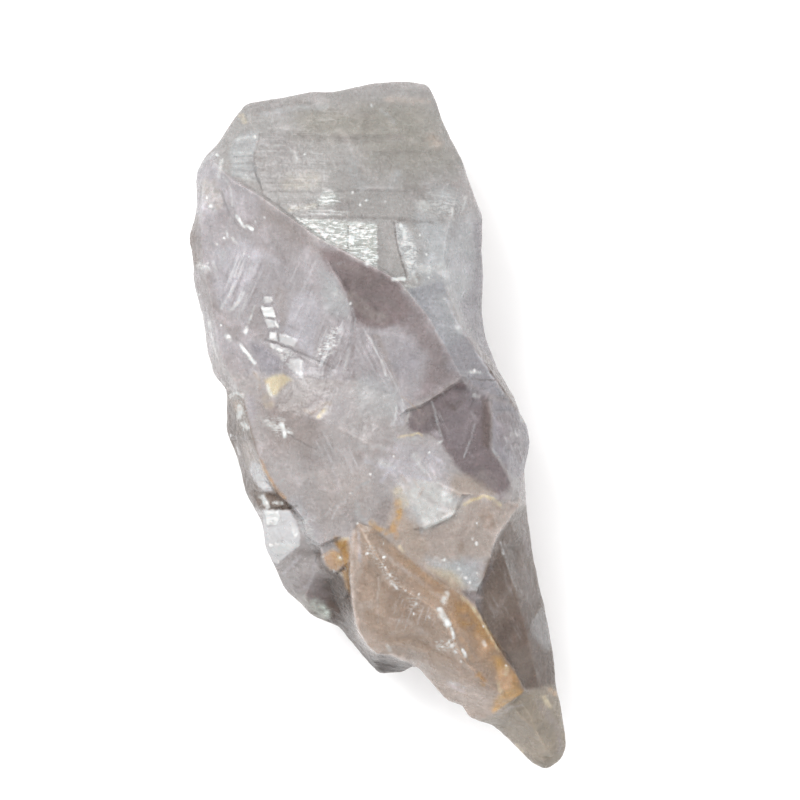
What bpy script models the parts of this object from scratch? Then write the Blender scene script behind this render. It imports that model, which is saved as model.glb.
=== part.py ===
"""Rough quartz: one broken crystal of cloudy quartz that lies on a flat prism face.

It is seen from above with its broken end at +Y and its narrow tip at -Y. The upper side and the under side are
each a sheet of flat facets and scalloped breaks, and the two sheets meet along the stone's outline.
Every place below is (x, y, z) in millimetres, with z the height over the surface that the stone lies on.
"""

import math
import random

import bpy
import numpy as np
from mathutils import Vector, noise
from mathutils.geometry import delaunay_2d_cdt

MM = 0.001
POINT_SPACING = 2.0
EDGE_SPACING = 2.1
CLEAR_OF_EDGES = 0.85
CLEAR_OF_RIM = 1.9
RIM_LINING = 0.95
LEAST_AREA = 1e-3
SEED = 7

# Conchoidal breaks: shallow bowls that meet in sharp arrises.
BREAK_WIDTH = 9.0
BREAK_DEPTH = 0.7
CHIP_WIDTH = 5.4
CHIP_DEPTH = 0.12
SWELL_WIDTH = 13.0
SWELL_HEIGHT = 0.45
FADE_AT_OUTLINE = 3.0
FADE_AT_BASE = 3.5
STEEP_FLANK_SHARE = 2.4
ROLL_WIDTH = 1.8
ROLL_HEIGHT = 0.8
FADE_AT_CALM_FACE = 1.6
CALM_SHARE = 0.12

# A ledge's foot lies this far out from its brow.
LEDGE_RUN = 0.55

# The outline seen from above, clockwise from the corner at the upper left.
OUTLINE = [
    (-23.0, 56.4, 23.0),
    (-16.0, 57.5, 24.6),
    (-11.5, 58.5, 24.0),
    (-8.0, 58.3, 25.2),
    (-1.5, 59.8, 24.2),
    (4.0, 60.3, 22.8),
    (8.7, 59.8, 22.0),
    (10.2, 57.2, 22.6),
    (11.3, 53.5, 23.6),
    (12.8, 50.2, 24.0),
    (15.0, 46.0, 25.0),
    (16.6, 41.0, 23.0),
    (18.4, 37.0, 21.0),
    (18.2, 31.0, 21.5),
    (18.5, 27.0, 20.0),
    (18.2, 20.0, 19.0),
    (19.0, 15.0, 20.0),
    (21.0, 10.0, 21.5),
    (24.0, 5.0, 21.0),
    (24.8, 2.4, 22.0),
    (26.3, 0.0, 19.0),
    (26.7, -3.7, 18.0),
    (25.7, -7.6, 19.0),
    (26.2, -15.0, 17.0),
    (27.1, -21.5, 15.0),
    (28.3, -27.5, 15.5),
    (29.6, -33.0, 14.0),
    (31.0, -41.0, 13.0),
    (31.3, -45.5, 13.5),
    (32.7, -52.0, 11.0),
    (33.2, -56.3, 10.0),
    (32.3, -58.6, 9.5),
    (29.6, -60.4, 9.0),
    (27.0, -59.2, 9.5),
    (23.2, -55.2, 10.0),
    (20.3, -52.7, 11.0),
    (18.3, -52.0, 13.5),
    (16.0, -51.0, 15.0),
    (15.0, -49.0, 16.5),
    (12.3, -48.2, 17.0),
    (10.0, -45.5, 18.5),
    (7.2, -42.3, 19.0),
    (6.2, -42.0, 16.0),
    (4.7, -43.2, 12.0),
    (0.4, -43.6, 11.0),
    (-2.2, -40.9, 12.0),
    (-6.8, -35.2, 12.0),
    (-11.3, -33.5, 13.5),
    (-13.4, -31.3, 13.0),
    (-16.4, -28.6, 14.0),
    (-18.0, -24.5, 19.0),
    (-19.6, -21.5, 21.0),
    (-20.1, -17.0, 22.5),
    (-23.1, -11.8, 18.5),
    (-24.1, -7.5, 16.5),
    (-25.3, -3.5, 18.0),
    (-26.5, -1.2, 16.5),
    (-26.4, 6.3, 18.5),
    (-28.6, 8.8, 19.0),
    (-29.6, 12.5, 17.5),
    (-30.7, 19.5, 19.0),
    (-32.3, 25.5, 18.0),
    (-32.2, 29.0, 20.0),
    (-33.1, 32.8, 19.5),
    (-31.7, 37.5, 20.5),
    (-31.8, 43.8, 20.0),
    (-30.4, 47.0, 21.5),
    (-28.0, 49.3, 21.0),
    (-25.3, 53.5, 22.0),
]

# Upper side. The long diagonal ridge parts the striated prism face above it from the broken faces below it.
MAIN_RIDGE = [
    (-28.2, 45.6, 25.4),
    (-25.4, 42.8, 29.0),
    (-20.2, 39.8, 32.2),
    (-15.0, 36.0, 34.9),
    (-10.5, 32.8, 36.9),
    (-5.0, 29.9, 38.4),
    (0.0, 27.2, 39.0),
    (3.6, 25.2, 38.8),
    (6.0, 22.6, 38.1),
    (9.2, 18.4, 36.9),
    (12.2, 13.0, 35.6),
    (14.6, 8.6, 34.6),
]
LEFT_STEP = [
    (-22.2, 53.0, 25.9),
    (-20.8, 50.4, 27.6),
    (-21.6, 46.5, 29.2),
    (-20.3, 42.8, 30.8),
]
# The crease where the prism face turns down to the right side, and the narrow striated band beside it.
RIGHT_CREASE = [
    OUTLINE[10],
    (13.8, 40.0, 28.6),
    (12.2, 34.5, 31.4),
    (11.4, 29.0, 33.2),
    (12.4, 23.5, 33.4),
    (15.2, 16.5, 31.8),
    (18.4, 11.5, 29.6),
    (20.9, 8.2, 28.0),
    (23.2, 4.6, 25.6),
    OUTLINE[19],
]
NOTCH = [
    (3.2, 35.4, 34.9),
    (3.7, 31.5, 36.2),
    (4.5, 28.4, 37.0),
]
# Broken faces below the ridge, on the left.
SHOULDER = [
    MAIN_RIDGE[0],
    (-26.6, 41.0, 26.9),
    (-25.4, 37.2, 27.9),
    (-23.6, 35.0, 29.3),
    (-21.3, 34.2, 30.6),
]
LEFT_CREST = [
    OUTLINE[66],
    (-30.2, 42.5, 23.6),
    (-30.6, 36.5, 24.4),
    (-30.7, 32.5, 24.2),
    (-30.2, 27.0, 24.6),
    (-28.7, 20.5, 25.2),
    (-27.9, 14.5, 25.6),
    (-26.0, 9.6, 26.8),
]
LONG_PANEL = [
    (-23.2, 31.6, 29.2),
    (-25.0, 26.5, 28.3),
    (-27.0, 21.2, 26.6),
]
INNER_PANEL = [
    (-20.4, 30.2, 30.8),
    (-22.2, 25.0, 29.8),
    (-24.4, 20.2, 28.6),
]
BRIGHT_STRIP = [
    (-20.6, 22.8, 30.2),
    (-18.6, 22.9, 31.2),
    (-17.2, 17.6, 32.0),
    (-19.2, 17.0, 31.0),
]
CRACK = [
    (-22.8, 15.2, 29.0),
    (-19.4, 15.6, 30.9),
    (-14.2, 13.6, 32.4),
    (-10.2, 11.2, 33.6),
    (-6.4, 9.6, 34.3),
]
DARK_SCOOP_EDGE = [
    MAIN_RIDGE[4],
    (-8.0, 27.4, 37.3),
    (-5.4, 23.2, 37.2),
    (-4.5, 19.0, 36.8),
    (-5.4, 14.0, 35.6),
    CRACK[4],
]
RIB = [
    (-1.8, 15.6, 35.9),
    (0.2, 12.2, 36.3),
    (1.4, 9.2, 35.9),
    (2.8, 5.6, 35.9),
]
# The dark notch between the ridge's lower end and the cloudy block: its upper brow, and the facets in it.
NOTCH_BROW = [
    MAIN_RIDGE[11],
    (12.8, 7.2, 34.4),
    (9.8, 5.1, 34.9),
    (7.4, 3.7, 35.4),
    (5.0, 3.0, 35.9),
    (2.4, 0.4, 36.4),
    (3.4, -1.4, 36.5),
]
NOTCH_FACET = [
    (8.2, -1.6, 35.3),
    (10.2, 0.6, 32.6),
    (11.6, -2.4, 33.6),
]
DARK_WEDGE = [
    (17.6, 6.2, 30.0),
    (19.4, 2.6, 30.4),
    (19.4, -4.0, 30.8),
    (16.4, -7.4, 32.4),
]
WEDGE_TO_SIDE = [
    (19.4, -4.0, 30.8),
    (22.6, -8.6, 28.6),
    (23.4, -10.4, 28.0),
]
# The broad cloudy middle ends on the left in a ledge over the steep flank.
MIDDLE_LEDGE = [
    LEFT_CREST[7],
    (-23.9, 6.0, 28.6),
    (-22.6, 1.0, 30.4),
    (-21.2, -4.0, 31.3),
    (-19.3, -8.5, 31.7),
    (-16.8, -12.2, 31.6),
    (-14.4, -14.1, 31.3),
    (-12.7, -16.2, 30.9),
    (-12.2, -19.2, 30.0),
    (-9.9, -20.5, 30.2),
    (-7.4, -19.3, 31.2),
    (-4.9, -18.9, 32.4),
]
MIDDLE_RISE = [
    (-17.0, 2.6, 33.6),
    (-9.0, 1.0, 36.3),
    (-1.0, -3.4, 37.3),
    (4.6, -6.4, 37.2),
]
FLANK_CRACK = [
    (-20.3, -14.1, 25.6),
    (-17.4, -14.9, 27.6),
    (-15.2, -15.0, 28.8),
]
# The white lump and the pinkish block under it.
WHITE_LUMP = [
    (3.4, -12.6, 36.2),
    (6.0, -10.2, 37.3),
    (10.4, -9.8, 37.2),
    (14.7, -11.8, 35.6),
    (12.9, -15.2, 35.6),
    (9.7, -16.8, 35.6),
    (7.3, -17.6, 35.0),
    (3.4, -12.6, 36.2),
]
BLOCK_BROW = [
    WHITE_LUMP[3],
    (18.0, -11.9, 33.6),
    (21.2, -12.6, 31.6),
    (24.6, -13.8, 28.0),
]
BLOCK_EDGE = [
    BLOCK_BROW[3],
    (22.7, -16.4, 29.9),
    (20.4, -19.4, 31.0),
    (19.7, -23.0, 30.9),
    (18.6, -26.2, 30.4),
    (17.4, -28.0, 30.0),
]
# The long amber flake that lies over the lower end.
FLAKE_TOP = (-3.6, -16.7, 33.2)
FLAKE_LEFT_EDGE = [
    FLAKE_TOP,
    (-4.5, -20.0, 32.3),
    (-4.8, -25.0, 30.8),
    (-4.3, -31.0, 28.8),
    (-3.4, -35.2, 27.2),
    (-1.6, -38.3, 25.9),
    (0.0, -39.7, 25.2),
    (2.3, -39.9, 24.4),
    (4.3, -40.8, 23.2),
    (6.1, -41.1, 21.6),
    OUTLINE[41],
]
FLAKE_RIGHT_EDGE = [
    FLAKE_TOP,
    (-0.8, -17.6, 34.0),
    (1.4, -19.6, 33.9),
    (5.2, -23.0, 33.2),
    (10.0, -26.4, 32.3),
    (14.0, -28.6, 31.6),
    (17.0, -31.3, 30.3),
    (18.8, -34.9, 28.8),
    (21.2, -38.8, 26.8),
    (23.6, -42.2, 24.8),
    (25.6, -46.2, 22.4),
    (22.6, -48.1, 21.2),
    (20.6, -49.7, 19.0),
    OUTLINE[36],
]
FLAKE_RIDGE = [
    FLAKE_TOP,
    (-1.4, -20.6, 35.0),
    (0.8, -23.8, 35.3),
    (2.8, -27.0, 35.2),
    (6.2, -29.4, 34.7),
    (9.6, -31.4, 34.2),
    (12.0, -34.6, 33.0),
    (13.8, -38.2, 31.4),
    (15.4, -41.2, 29.6),
    (18.6, -44.6, 27.0),
    (21.4, -46.6, 24.4),
]
FLAKE_CREASE = [
    (0.3, -25.4, 33.6),
    (0.1, -30.0, 31.6),
    (0.6, -34.6, 29.6),
    (3.6, -37.6, 28.0),
    (8.6, -39.4, 26.6),
]
RUST_BLOCK = [
    (-9.4, -22.3, 27.6),
    (-7.8, -21.3, 29.0),
    (-6.3, -22.2, 29.4),
    (-6.3, -24.4, 27.6),
    (-7.2, -25.4, 25.6),
    (-8.9, -24.4, 26.0),
    (-9.4, -22.3, 27.6),
]
LOWER_LEFT_RIB = [
    (-10.6, -22.0, 25.2),
    (-11.0, -25.5, 23.2),
    (-12.6, -29.6, 17.6),
]
LOWER_LEFT_HOLLOW = [
    (-8.4, -27.4, 20.4),
    (-6.3, -33.0, 16.2),
    (-3.8, -37.6, 14.8),
    (-0.8, -41.2, 14.4),
    (3.2, -42.0, 14.6),
]
RIGHT_FACE_RIB = [
    (21.4, -21.4, 27.2),
    (22.8, -25.2, 26.2),
    (24.4, -30.0, 24.6),
    (26.4, -38.0, 21.6),
    (28.2, -45.6, 18.6),
]
TIP_CREST = [
    (24.4, -50.2, 18.2),
    (27.6, -53.2, 16.4),
    (29.6, -56.8, 13.4),
]

# Ledges: each brow drops to a foot that lies on its left or its right, seen along the brow's points.
LEDGES = [
    (MAIN_RIDGE[1:11], "left", 0.9),
    (LEFT_STEP, "right", 0.6),
    (NOTCH, "left", 0.7),
    (SHOULDER[1:4], "right", 0.8),
    (DARK_SCOOP_EDGE[1:5], "left", 0.35),
    (NOTCH_BROW[1:5], "left", 1.2),
    (MIDDLE_LEDGE[1:11], "right", 2.6),
    (WHITE_LUMP[3:7], "left", 1.1),
    (BLOCK_EDGE[1:6], "left", 2.4),
    (FLAKE_LEFT_EDGE[2:10], "right", 6.2),
    (FLAKE_RIGHT_EDGE[6:12], "left", 2.2),
    (RUST_BLOCK[3:6], "left", 1.6),
]
UPPER_EDGES = [
    MAIN_RIDGE,
    LEFT_STEP,
    RIGHT_CREASE,
    NOTCH,
    SHOULDER,
    LEFT_CREST,
    LONG_PANEL,
    INNER_PANEL,
    BRIGHT_STRIP,
    CRACK,
    DARK_SCOOP_EDGE,
    RIB,
    NOTCH_BROW,
    NOTCH_FACET,
    DARK_WEDGE,
    WEDGE_TO_SIDE,
    MIDDLE_LEDGE,
    MIDDLE_RISE,
    FLANK_CRACK,
    WHITE_LUMP,
    BLOCK_BROW,
    BLOCK_EDGE,
    FLAKE_LEFT_EDGE,
    FLAKE_RIGHT_EDGE,
    FLAKE_RIDGE,
    FLAKE_CREASE,
    RUST_BLOCK,
    LOWER_LEFT_RIB,
    LOWER_LEFT_HOLLOW,
    RIGHT_FACE_RIB,
    TIP_CREST,
]
UPPER_SPOTS = [
    (-8.0, 46.0, 31.4),
    (4.0, 48.0, 29.6),
    (-29.0, 39.6, 26.2),
    (-1.4, 21.4, 35.4),
    (1.2, 17.2, 35.2),
    (5.4, 12.6, 36.0),
    (8.6, 8.4, 35.7),
    (14.6, 2.0, 31.6),
    (22.8, -1.6, 28.0),
    (-13.0, -8.0, 34.6),
    (-4.0, -12.0, 36.2),
    (-17.2, 9.2, 31.2),
    (-17.4, -19.4, 25.0),
    (-14.4, -24.4, 22.6),
    (15.0, -19.0, 33.9),
    (13.0, -24.4, 32.8),
]

# Under side: a flat striated prism face that the stone lies on, and the flanks that rise from it.
BASE = [
    (-20.6, 41.0, 0.0),
    (-14.0, 48.6, 0.0),
    (2.4, 51.4, 0.0),
    (8.8, 43.4, 0.0),
    (11.2, 22.0, 0.0),
    (13.4, 3.0, 0.0),
    (12.2, -14.0, 0.0),
    (7.0, -26.4, 0.0),
    (-1.4, -29.0, 0.0),
    (-9.6, -19.0, 0.0),
    (-14.6, -3.0, 0.0),
    (-19.4, 17.0, 0.0),
]
UNDER_LEFT_CREASE = [
    (-19.0, 51.6, 9.0),
    (-26.0, 43.6, 9.6),
    (-28.6, 31.0, 9.4),
    (-26.4, 15.0, 8.4),
    (-22.4, 2.0, 9.0),
    (-19.2, -9.0, 10.4),
    (-15.2, -20.0, 9.2),
    (-8.6, -28.6, 6.4),
    (-1.6, -37.0, 6.6),
]
UNDER_RIGHT_CREASE = [
    (5.6, 55.6, 9.4),
    (12.0, 46.0, 10.6),
    (15.4, 31.0, 8.6),
    (15.8, 17.0, 8.0),
    (20.2, 4.0, 9.6),
    (21.8, -9.0, 8.4),
    (22.4, -22.0, 7.4),
    (25.6, -37.0, 7.4),
]
UNDER_KEEL = [
    BASE[7],
    (12.6, -35.0, 2.6),
    (20.8, -46.0, 4.6),
    (27.6, -55.6, 6.2),
]
UNDER_KNUCKLE = [
    (-1.6, -37.0, 6.6),
    (7.6, -38.4, 5.6),
    (12.6, -35.0, 2.6),
]
FLANK_RIBS = [
    [BASE[0], UNDER_LEFT_CREASE[1]],
    [BASE[11], UNDER_LEFT_CREASE[3]],
    [BASE[9], UNDER_LEFT_CREASE[6]],
    [BASE[3], UNDER_RIGHT_CREASE[1]],
    [BASE[5], UNDER_RIGHT_CREASE[4]],
    [BASE[6], UNDER_RIGHT_CREASE[6]],
    [UNDER_LEFT_CREASE[3], OUTLINE[60]],
    [UNDER_LEFT_CREASE[1], OUTLINE[66]],
    [UNDER_RIGHT_CREASE[2], OUTLINE[13]],
    [UNDER_RIGHT_CREASE[4], OUTLINE[20]],
]
UNDER_EDGES = [
    BASE + [BASE[0]],
    UNDER_LEFT_CREASE,
    UNDER_RIGHT_CREASE,
    UNDER_KEEL,
    UNDER_KNUCKLE,
] + FLANK_RIBS

# Faces that grew flat, as (x, y) corners: the breaks' relief hardly touches them.
PRISM_FACE = [
    (-24.0, 57.0),
    (9.5, 60.5),
    (15.0, 46.0),
    (12.2, 34.5),
    (11.4, 29.0),
    (12.4, 23.5),
    (15.2, 16.5),
    (23.0, 5.0),
    (14.6, 8.6),
    (9.2, 18.4),
    (3.6, 25.2),
    (-5.0, 29.9),
    (-15.0, 36.0),
    (-25.4, 42.8),
]
FLANK_MIRROR = [
    (-20.4, -14.6),
    (-14.4, -15.0),
    (-13.2, -20.6),
    (-18.4, -24.6),
    (-20.2, -19.0),
]
FLAKE_FACE = [
    (-4.0, -19.0),
    (-4.4, -31.0),
    (-1.6, -38.0),
    (6.1, -41.0),
    (12.3, -47.8),
    (24.8, -46.2),
    (18.6, -34.9),
    (14.0, -28.8),
    (1.4, -19.8),
]
SCOOP_FACE = [
    (-9.4, 31.0),
    (3.4, 24.6),
    (9.0, 17.6),
    (13.6, 8.8),
    (7.4, 4.4),
    (2.6, 8.0),
    (-1.8, 15.6),
    (-4.2, 18.6),
    (-5.0, 23.6),
]
RIGHT_FACE = [
    (22.8, -17.0),
    (20.2, -23.0),
    (18.0, -29.4),
    (24.4, -41.6),
    (26.4, -48.0),
    (30.6, -46.0),
    (29.0, -33.0),
    (26.4, -18.0),
]
UPPER_CALM_FACES = [PRISM_FACE, FLANK_MIRROR, FLAKE_FACE, SCOOP_FACE, RIGHT_FACE]
UNDER_CALM_FACES = [[corner[:2] for corner in BASE]]

QUARTZ_COLOUR = (0.62, 0.57, 0.56, 1.0)
QUARTZ_ROUGHNESS = 0.28
QUARTZ_IOR = 1.54


def divided(line, spacing):
    """The line's points with others between them, so that no step is longer than spacing."""
    points = [line[0]]
    for start, end in zip(line, line[1:]):
        parts = max(1, math.ceil(math.dist(start[:2], end[:2]) / spacing))
        for part in range(1, parts):
            points.append(tuple(a + (b - a) * part / parts for a, b in zip(start, end)))
        points.append(end)
    return points


def ledge_foot(brow, side, drop):
    """The line at the foot of a ledge: beside the brow, lower by drop, and running out at both of its ends."""
    turn = 1.0 if side == "left" else -1.0
    foot = []
    for place, point in enumerate(brow):
        before = brow[max(place - 1, 0)]
        after = brow[min(place + 1, len(brow) - 1)]
        along = Vector((after[0] - before[0], after[1] - before[1])).normalized()
        out = Vector((-along.y, along.x)) * turn * LEDGE_RUN
        share = math.sin(math.pi * (place + 0.8) / (len(brow) + 0.6)) ** 0.5
        foot.append((point[0] + out.x, point[1] + out.y, point[2] - drop * share))
    return foot


def inside(x, y, corners):
    """Whether each (x, y) lies in the polygon."""
    found = np.zeros(x.shape, bool)
    for (ax, ay), (bx, by) in zip(corners, corners[1:] + corners[:1]):
        if ay == by:
            continue
        crosses = (ay > y) != (by > y)
        found ^= crosses & (x < (bx - ax) * (y - ay) / (by - ay) + ax)
    return found


def distance_to_line(x, y, line):
    """The distance from each (x, y) to the nearest stretch of the line."""
    nearest = np.full(x.shape, np.inf)
    for start, end in zip(line, line[1:]):
        dx, dy = end[0] - start[0], end[1] - start[1]
        length = dx * dx + dy * dy
        share = np.clip(((x - start[0]) * dx + (y - start[1]) * dy) / length, 0, 1)
        nearest = np.minimum(nearest, np.hypot(x - start[0] - share * dx, y - start[1] - share * dy))
    return nearest


def smooth_step(value):
    value = np.clip(value, 0, 1)
    return value * value * (3 - 2 * value)


class Net:
    """Points and the joins between them; a place met twice is one point."""

    def __init__(self, ring, lines, spots):
        self.points, self.joins, self.numbers = [], [], {}
        self.ring = self.add_line(ring)[:-1]
        for line in lines:
            self.add_line(line)
        for spot in spots:
            self.number(spot)

    def number(self, point):
        key = (round(point[0], 3), round(point[1], 3))
        if key not in self.numbers:
            self.numbers[key] = len(self.points)
            self.points.append(point)
        return self.numbers[key]

    def add_line(self, line):
        numbers = [self.number(point) for point in line]
        self.joins += list(zip(numbers, numbers[1:]))
        return numbers

    def triangles(self):
        """The triangles inside the ring, as three point numbers each, with every join as an edge."""
        flat = [Vector(point[:2]) for point in self.points]
        verts, _, faces, origins, _, _ = delaunay_2d_cdt(flat, self.joins, [], 0, 1e-4, True)
        crossings = [(round(v.x, 2), round(v.y, 2)) for v, origin in zip(verts, origins) if not origin]
        if crossings:
            raise ValueError(f"edges cross at {crossings}")
        corners = np.array([[origins[corner][0] for corner in face] for face in faces])
        places = np.array([point[:2] for point in self.points])[corners]
        (ux, uy), (vx, vy) = (places[:, 1] - places[:, 0]).T, (places[:, 2] - places[:, 0]).T
        middle_x, middle_y = places.mean(axis=1).T
        kept = inside(middle_x, middle_y, [self.points[number][:2] for number in self.ring])
        return corners[kept & (ux * vy - uy * vx > LEAST_AREA)]


def facet_height(net, x, y):
    """The height of the net's facets at each (x, y)."""
    found = np.full(x.shape, np.nan)
    for corners in net.triangles():
        a, b, c = (net.points[corner] for corner in corners)
        area = (b[0] - a[0]) * (c[1] - a[1]) - (c[0] - a[0]) * (b[1] - a[1])
        u = ((x - a[0]) * (c[1] - a[1]) - (c[0] - a[0]) * (y - a[1])) / area
        v = ((b[0] - a[0]) * (y - a[1]) - (x - a[0]) * (b[1] - a[1])) / area
        within = (u >= -1e-6) & (v >= -1e-6) & (u + v <= 1 + 1e-6)
        height = a[2] + u * (b[2] - a[2]) + v * (c[2] - a[2])
        found = np.where(within & np.isnan(found), height, found)
    return found


def bowls(x, y, width, shift):
    """Shallow bowls with sharp rims, from 0 at each bowl's middle to about 1 at its rim."""
    found = []
    for px, py in zip(x, y):
        near = noise.voronoi(Vector((px / width + shift, py / width - shift, shift)))[0][0]
        found.append(near * near)
    return np.array(found)


def swells(x, y, width, shift):
    return np.array([noise.noise(Vector((px / width, py / width, shift))) for px, py in zip(x, y)])


def relief(x, y, calm_faces, shift):
    """The height that the breaks add at each (x, y): none at the outline, and little on a face that grew flat."""
    height = BREAK_DEPTH * (bowls(x, y, BREAK_WIDTH, shift) - 0.5)
    height += CHIP_DEPTH * (bowls(x, y, CHIP_WIDTH, shift + 3.7) - 0.5)
    height += SWELL_HEIGHT * swells(x, y, SWELL_WIDTH, shift)
    for face in calm_faces:
        away = distance_to_line(x, y, face + [face[0]])
        away = np.where(inside(x, y, face), -away, away)
        height *= CALM_SHARE + (1 - CALM_SHARE) * smooth_step(away / FADE_AT_CALM_FACE)
    return height * smooth_step(distance_to_line(x, y, OUTLINE + [OUTLINE[0]]) / FADE_AT_OUTLINE)


def rim_roll(x, y):
    """How far each side stands out from the coarse facets just inside the outline, where the edge is blunt."""
    return ROLL_HEIGHT * np.sqrt(np.clip(distance_to_line(x, y, OUTLINE + [OUTLINE[0]]) / ROLL_WIDTH, 0, 1))


def scattered(edges):
    """Points on a jittered triangular grid inside the outline, clear of the edges."""
    place = random.Random(SEED)
    rim = [point[:2] for point in OUTLINE]
    low = np.min(rim, axis=0)
    high = np.max(rim, axis=0)
    row_height = POINT_SPACING * math.sin(math.pi / 3)
    points = []
    for row in range(int((high[1] - low[1]) / row_height)):
        for column in range(int((high[0] - low[0]) / POINT_SPACING)):
            points.append(
                (
                    low[0] + (column + row % 2 / 2 + place.uniform(0.4, 0.6)) * POINT_SPACING,
                    low[1] + (row + place.uniform(0.4, 0.6)) * row_height,
                )
            )
    x, y = np.array(points).T
    kept = inside(x, y, rim)
    kept &= distance_to_line(x, y, rim + [rim[0]]) > CLEAR_OF_RIM
    for edge in edges:
        kept &= distance_to_line(x, y, edge) > CLEAR_OF_EDGES
    return x[kept], y[kept]


def rim_lining(rim, edges):
    """Points a little inside the outline, beside the middle of each of its steps, clear of the edges."""
    points = []
    for start, end in zip(rim, rim[1:]):
        along = Vector((end[0] - start[0], end[1] - start[1])).normalized()
        points.append(
            (
                (start[0] + end[0]) / 2 + along.y * RIM_LINING,
                (start[1] + end[1]) / 2 - along.x * RIM_LINING,
            )
        )
    x, y = np.array(points).T
    kept = inside(x, y, [point[:2] for point in rim[:-1]])
    kept &= distance_to_line(x, y, rim) > 0.8 * RIM_LINING
    for edge in edges:
        kept &= distance_to_line(x, y, edge) > 0.4 * RIM_LINING
    return x[kept], y[kept]


def fine_net(edges, spots, calm_faces, shift, side):
    """The net of one side of the stone with its relief: side is 1 for the upper side and -1 for the under side."""
    coarse = Net(OUTLINE + [OUTLINE[0]], edges, spots)
    rim = divided(OUTLINE + [OUTLINE[0]], EDGE_SPACING)
    loose = []
    for x, y in (scattered(edges), rim_lining(rim, edges)):
        loose += zip(x, y, facet_height(coarse, x, y))
    fine = Net(rim, [divided(edge, EDGE_SPACING) for edge in edges], loose)
    x, y, height = np.array(fine.points).T
    added = relief(x, y, calm_faces, shift)
    if side < 0:
        added *= STEEP_FLANK_SHARE
    added += side * rim_roll(x, y)
    if side < 0:
        added = np.maximum(added, -height / 2) * smooth_step(height / FADE_AT_BASE)
    fine.points = list(zip(x, y, height + added))
    return fine


def stone_mesh(name):
    """The closed stone: the upper side and the turned-over under side, joined along the outline."""
    feet = [ledge_foot(*ledge) for ledge in LEDGES]
    upper = fine_net(UPPER_EDGES + feet, UPPER_SPOTS, UPPER_CALM_FACES, 0.0, 1)
    under = fine_net(UNDER_EDGES, [], UNDER_CALM_FACES, 11.0, -1)
    under_numbers = {number: place for place, number in enumerate(under.ring)}
    points = list(upper.points)
    for number, point in enumerate(under.points):
        if number not in under_numbers:
            under_numbers[number] = len(points)
            points.append(point)
        else:
            under_numbers[number] = upper.ring[under_numbers[number]]
    faces = [[int(corner) for corner in corners] for corners in upper.triangles()]
    faces += [[under_numbers[int(corner)] for corner in corners[::-1]] for corners in under.triangles()]
    mesh = bpy.data.meshes.new(name)
    mesh.from_pydata([[value * MM for value in point] for point in points], [], faces)
    mesh.validate()
    return mesh


def quartz_material():
    material = bpy.data.materials.new("cloudy_quartz")
    material.use_nodes = True
    shader = material.node_tree.nodes["Principled BSDF"]
    shader.inputs["Base Color"].default_value = QUARTZ_COLOUR
    shader.inputs["Metallic"].default_value = 0.0
    shader.inputs["Roughness"].default_value = QUARTZ_ROUGHNESS
    shader.inputs["IOR"].default_value = QUARTZ_IOR
    return material


def main():
    for old in list(bpy.data.objects):
        bpy.data.objects.remove(old)
    stone = bpy.data.objects.new("quartz", stone_mesh("quartz"))
    stone.data.materials.append(quartz_material())
    bpy.context.scene.collection.objects.link(stone)


main()
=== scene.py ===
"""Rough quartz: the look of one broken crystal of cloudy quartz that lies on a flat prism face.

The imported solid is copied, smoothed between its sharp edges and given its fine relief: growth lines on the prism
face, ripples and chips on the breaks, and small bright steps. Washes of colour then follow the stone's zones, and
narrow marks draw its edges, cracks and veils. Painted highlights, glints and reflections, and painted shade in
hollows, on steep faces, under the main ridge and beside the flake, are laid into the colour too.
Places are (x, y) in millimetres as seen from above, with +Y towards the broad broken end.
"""

import math

import bmesh
import bpy
import numpy as np
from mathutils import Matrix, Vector, noise


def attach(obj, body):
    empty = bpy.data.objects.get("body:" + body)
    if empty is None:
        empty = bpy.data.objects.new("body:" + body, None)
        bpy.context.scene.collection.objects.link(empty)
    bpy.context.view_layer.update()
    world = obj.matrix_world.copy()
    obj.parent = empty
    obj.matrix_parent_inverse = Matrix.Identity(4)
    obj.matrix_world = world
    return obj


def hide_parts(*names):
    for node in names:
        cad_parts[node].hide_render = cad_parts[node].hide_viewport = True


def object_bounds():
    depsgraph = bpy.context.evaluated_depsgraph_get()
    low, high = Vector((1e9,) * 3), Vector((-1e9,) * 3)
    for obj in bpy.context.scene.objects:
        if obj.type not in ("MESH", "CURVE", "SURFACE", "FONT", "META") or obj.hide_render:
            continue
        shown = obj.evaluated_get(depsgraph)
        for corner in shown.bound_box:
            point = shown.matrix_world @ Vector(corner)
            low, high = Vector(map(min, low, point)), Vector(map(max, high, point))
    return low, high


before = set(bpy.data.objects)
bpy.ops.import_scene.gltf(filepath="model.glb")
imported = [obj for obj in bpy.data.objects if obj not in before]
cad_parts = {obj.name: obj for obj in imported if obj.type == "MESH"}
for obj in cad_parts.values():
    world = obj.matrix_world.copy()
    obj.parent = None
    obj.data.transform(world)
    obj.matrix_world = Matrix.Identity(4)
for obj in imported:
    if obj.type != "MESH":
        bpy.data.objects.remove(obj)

MM = 0.001
CAD_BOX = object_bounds()

# The camera looks straight down through a long lens. The photograph's frame is 140 mm wide at the stone's outline.
FRAME_WIDTH = 0.140
FRAME_MIDDLE = (0.00394, 0.00455)
OUTLINE_HEIGHT = 0.019
CAMERA_HEIGHT = 2.4
SENSOR_WIDTH = 36.0

# Light: an even pale room, and one soft key light towards the upper left.
ROOM_LIGHT = 1.45
KEY_PLACE = (-0.45, 0.55, 0.85)
KEY_SIZE = 0.45
KEY_POWER = 7.0
FLOOR_COLOUR = (0.92, 0.92, 0.92, 1.0)
FLOOR_HALF = 3.0

# A surface that leans this way mirrors the key light into the camera.
TO_THE_LIGHT = (Vector(KEY_PLACE).normalized() + Vector((0, 0, 1))).normalized()

# How sharp the stone's edges stay, and how near to a mark the mesh is finer, in millimetres.
CREASE_ANGLE = math.radians(24)
SHARP_ANGLE = math.radians(38)
RIM_CREASE = 0.85
BESIDE_RIM = 0.2
MARK_MARGIN = 0.55

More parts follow.
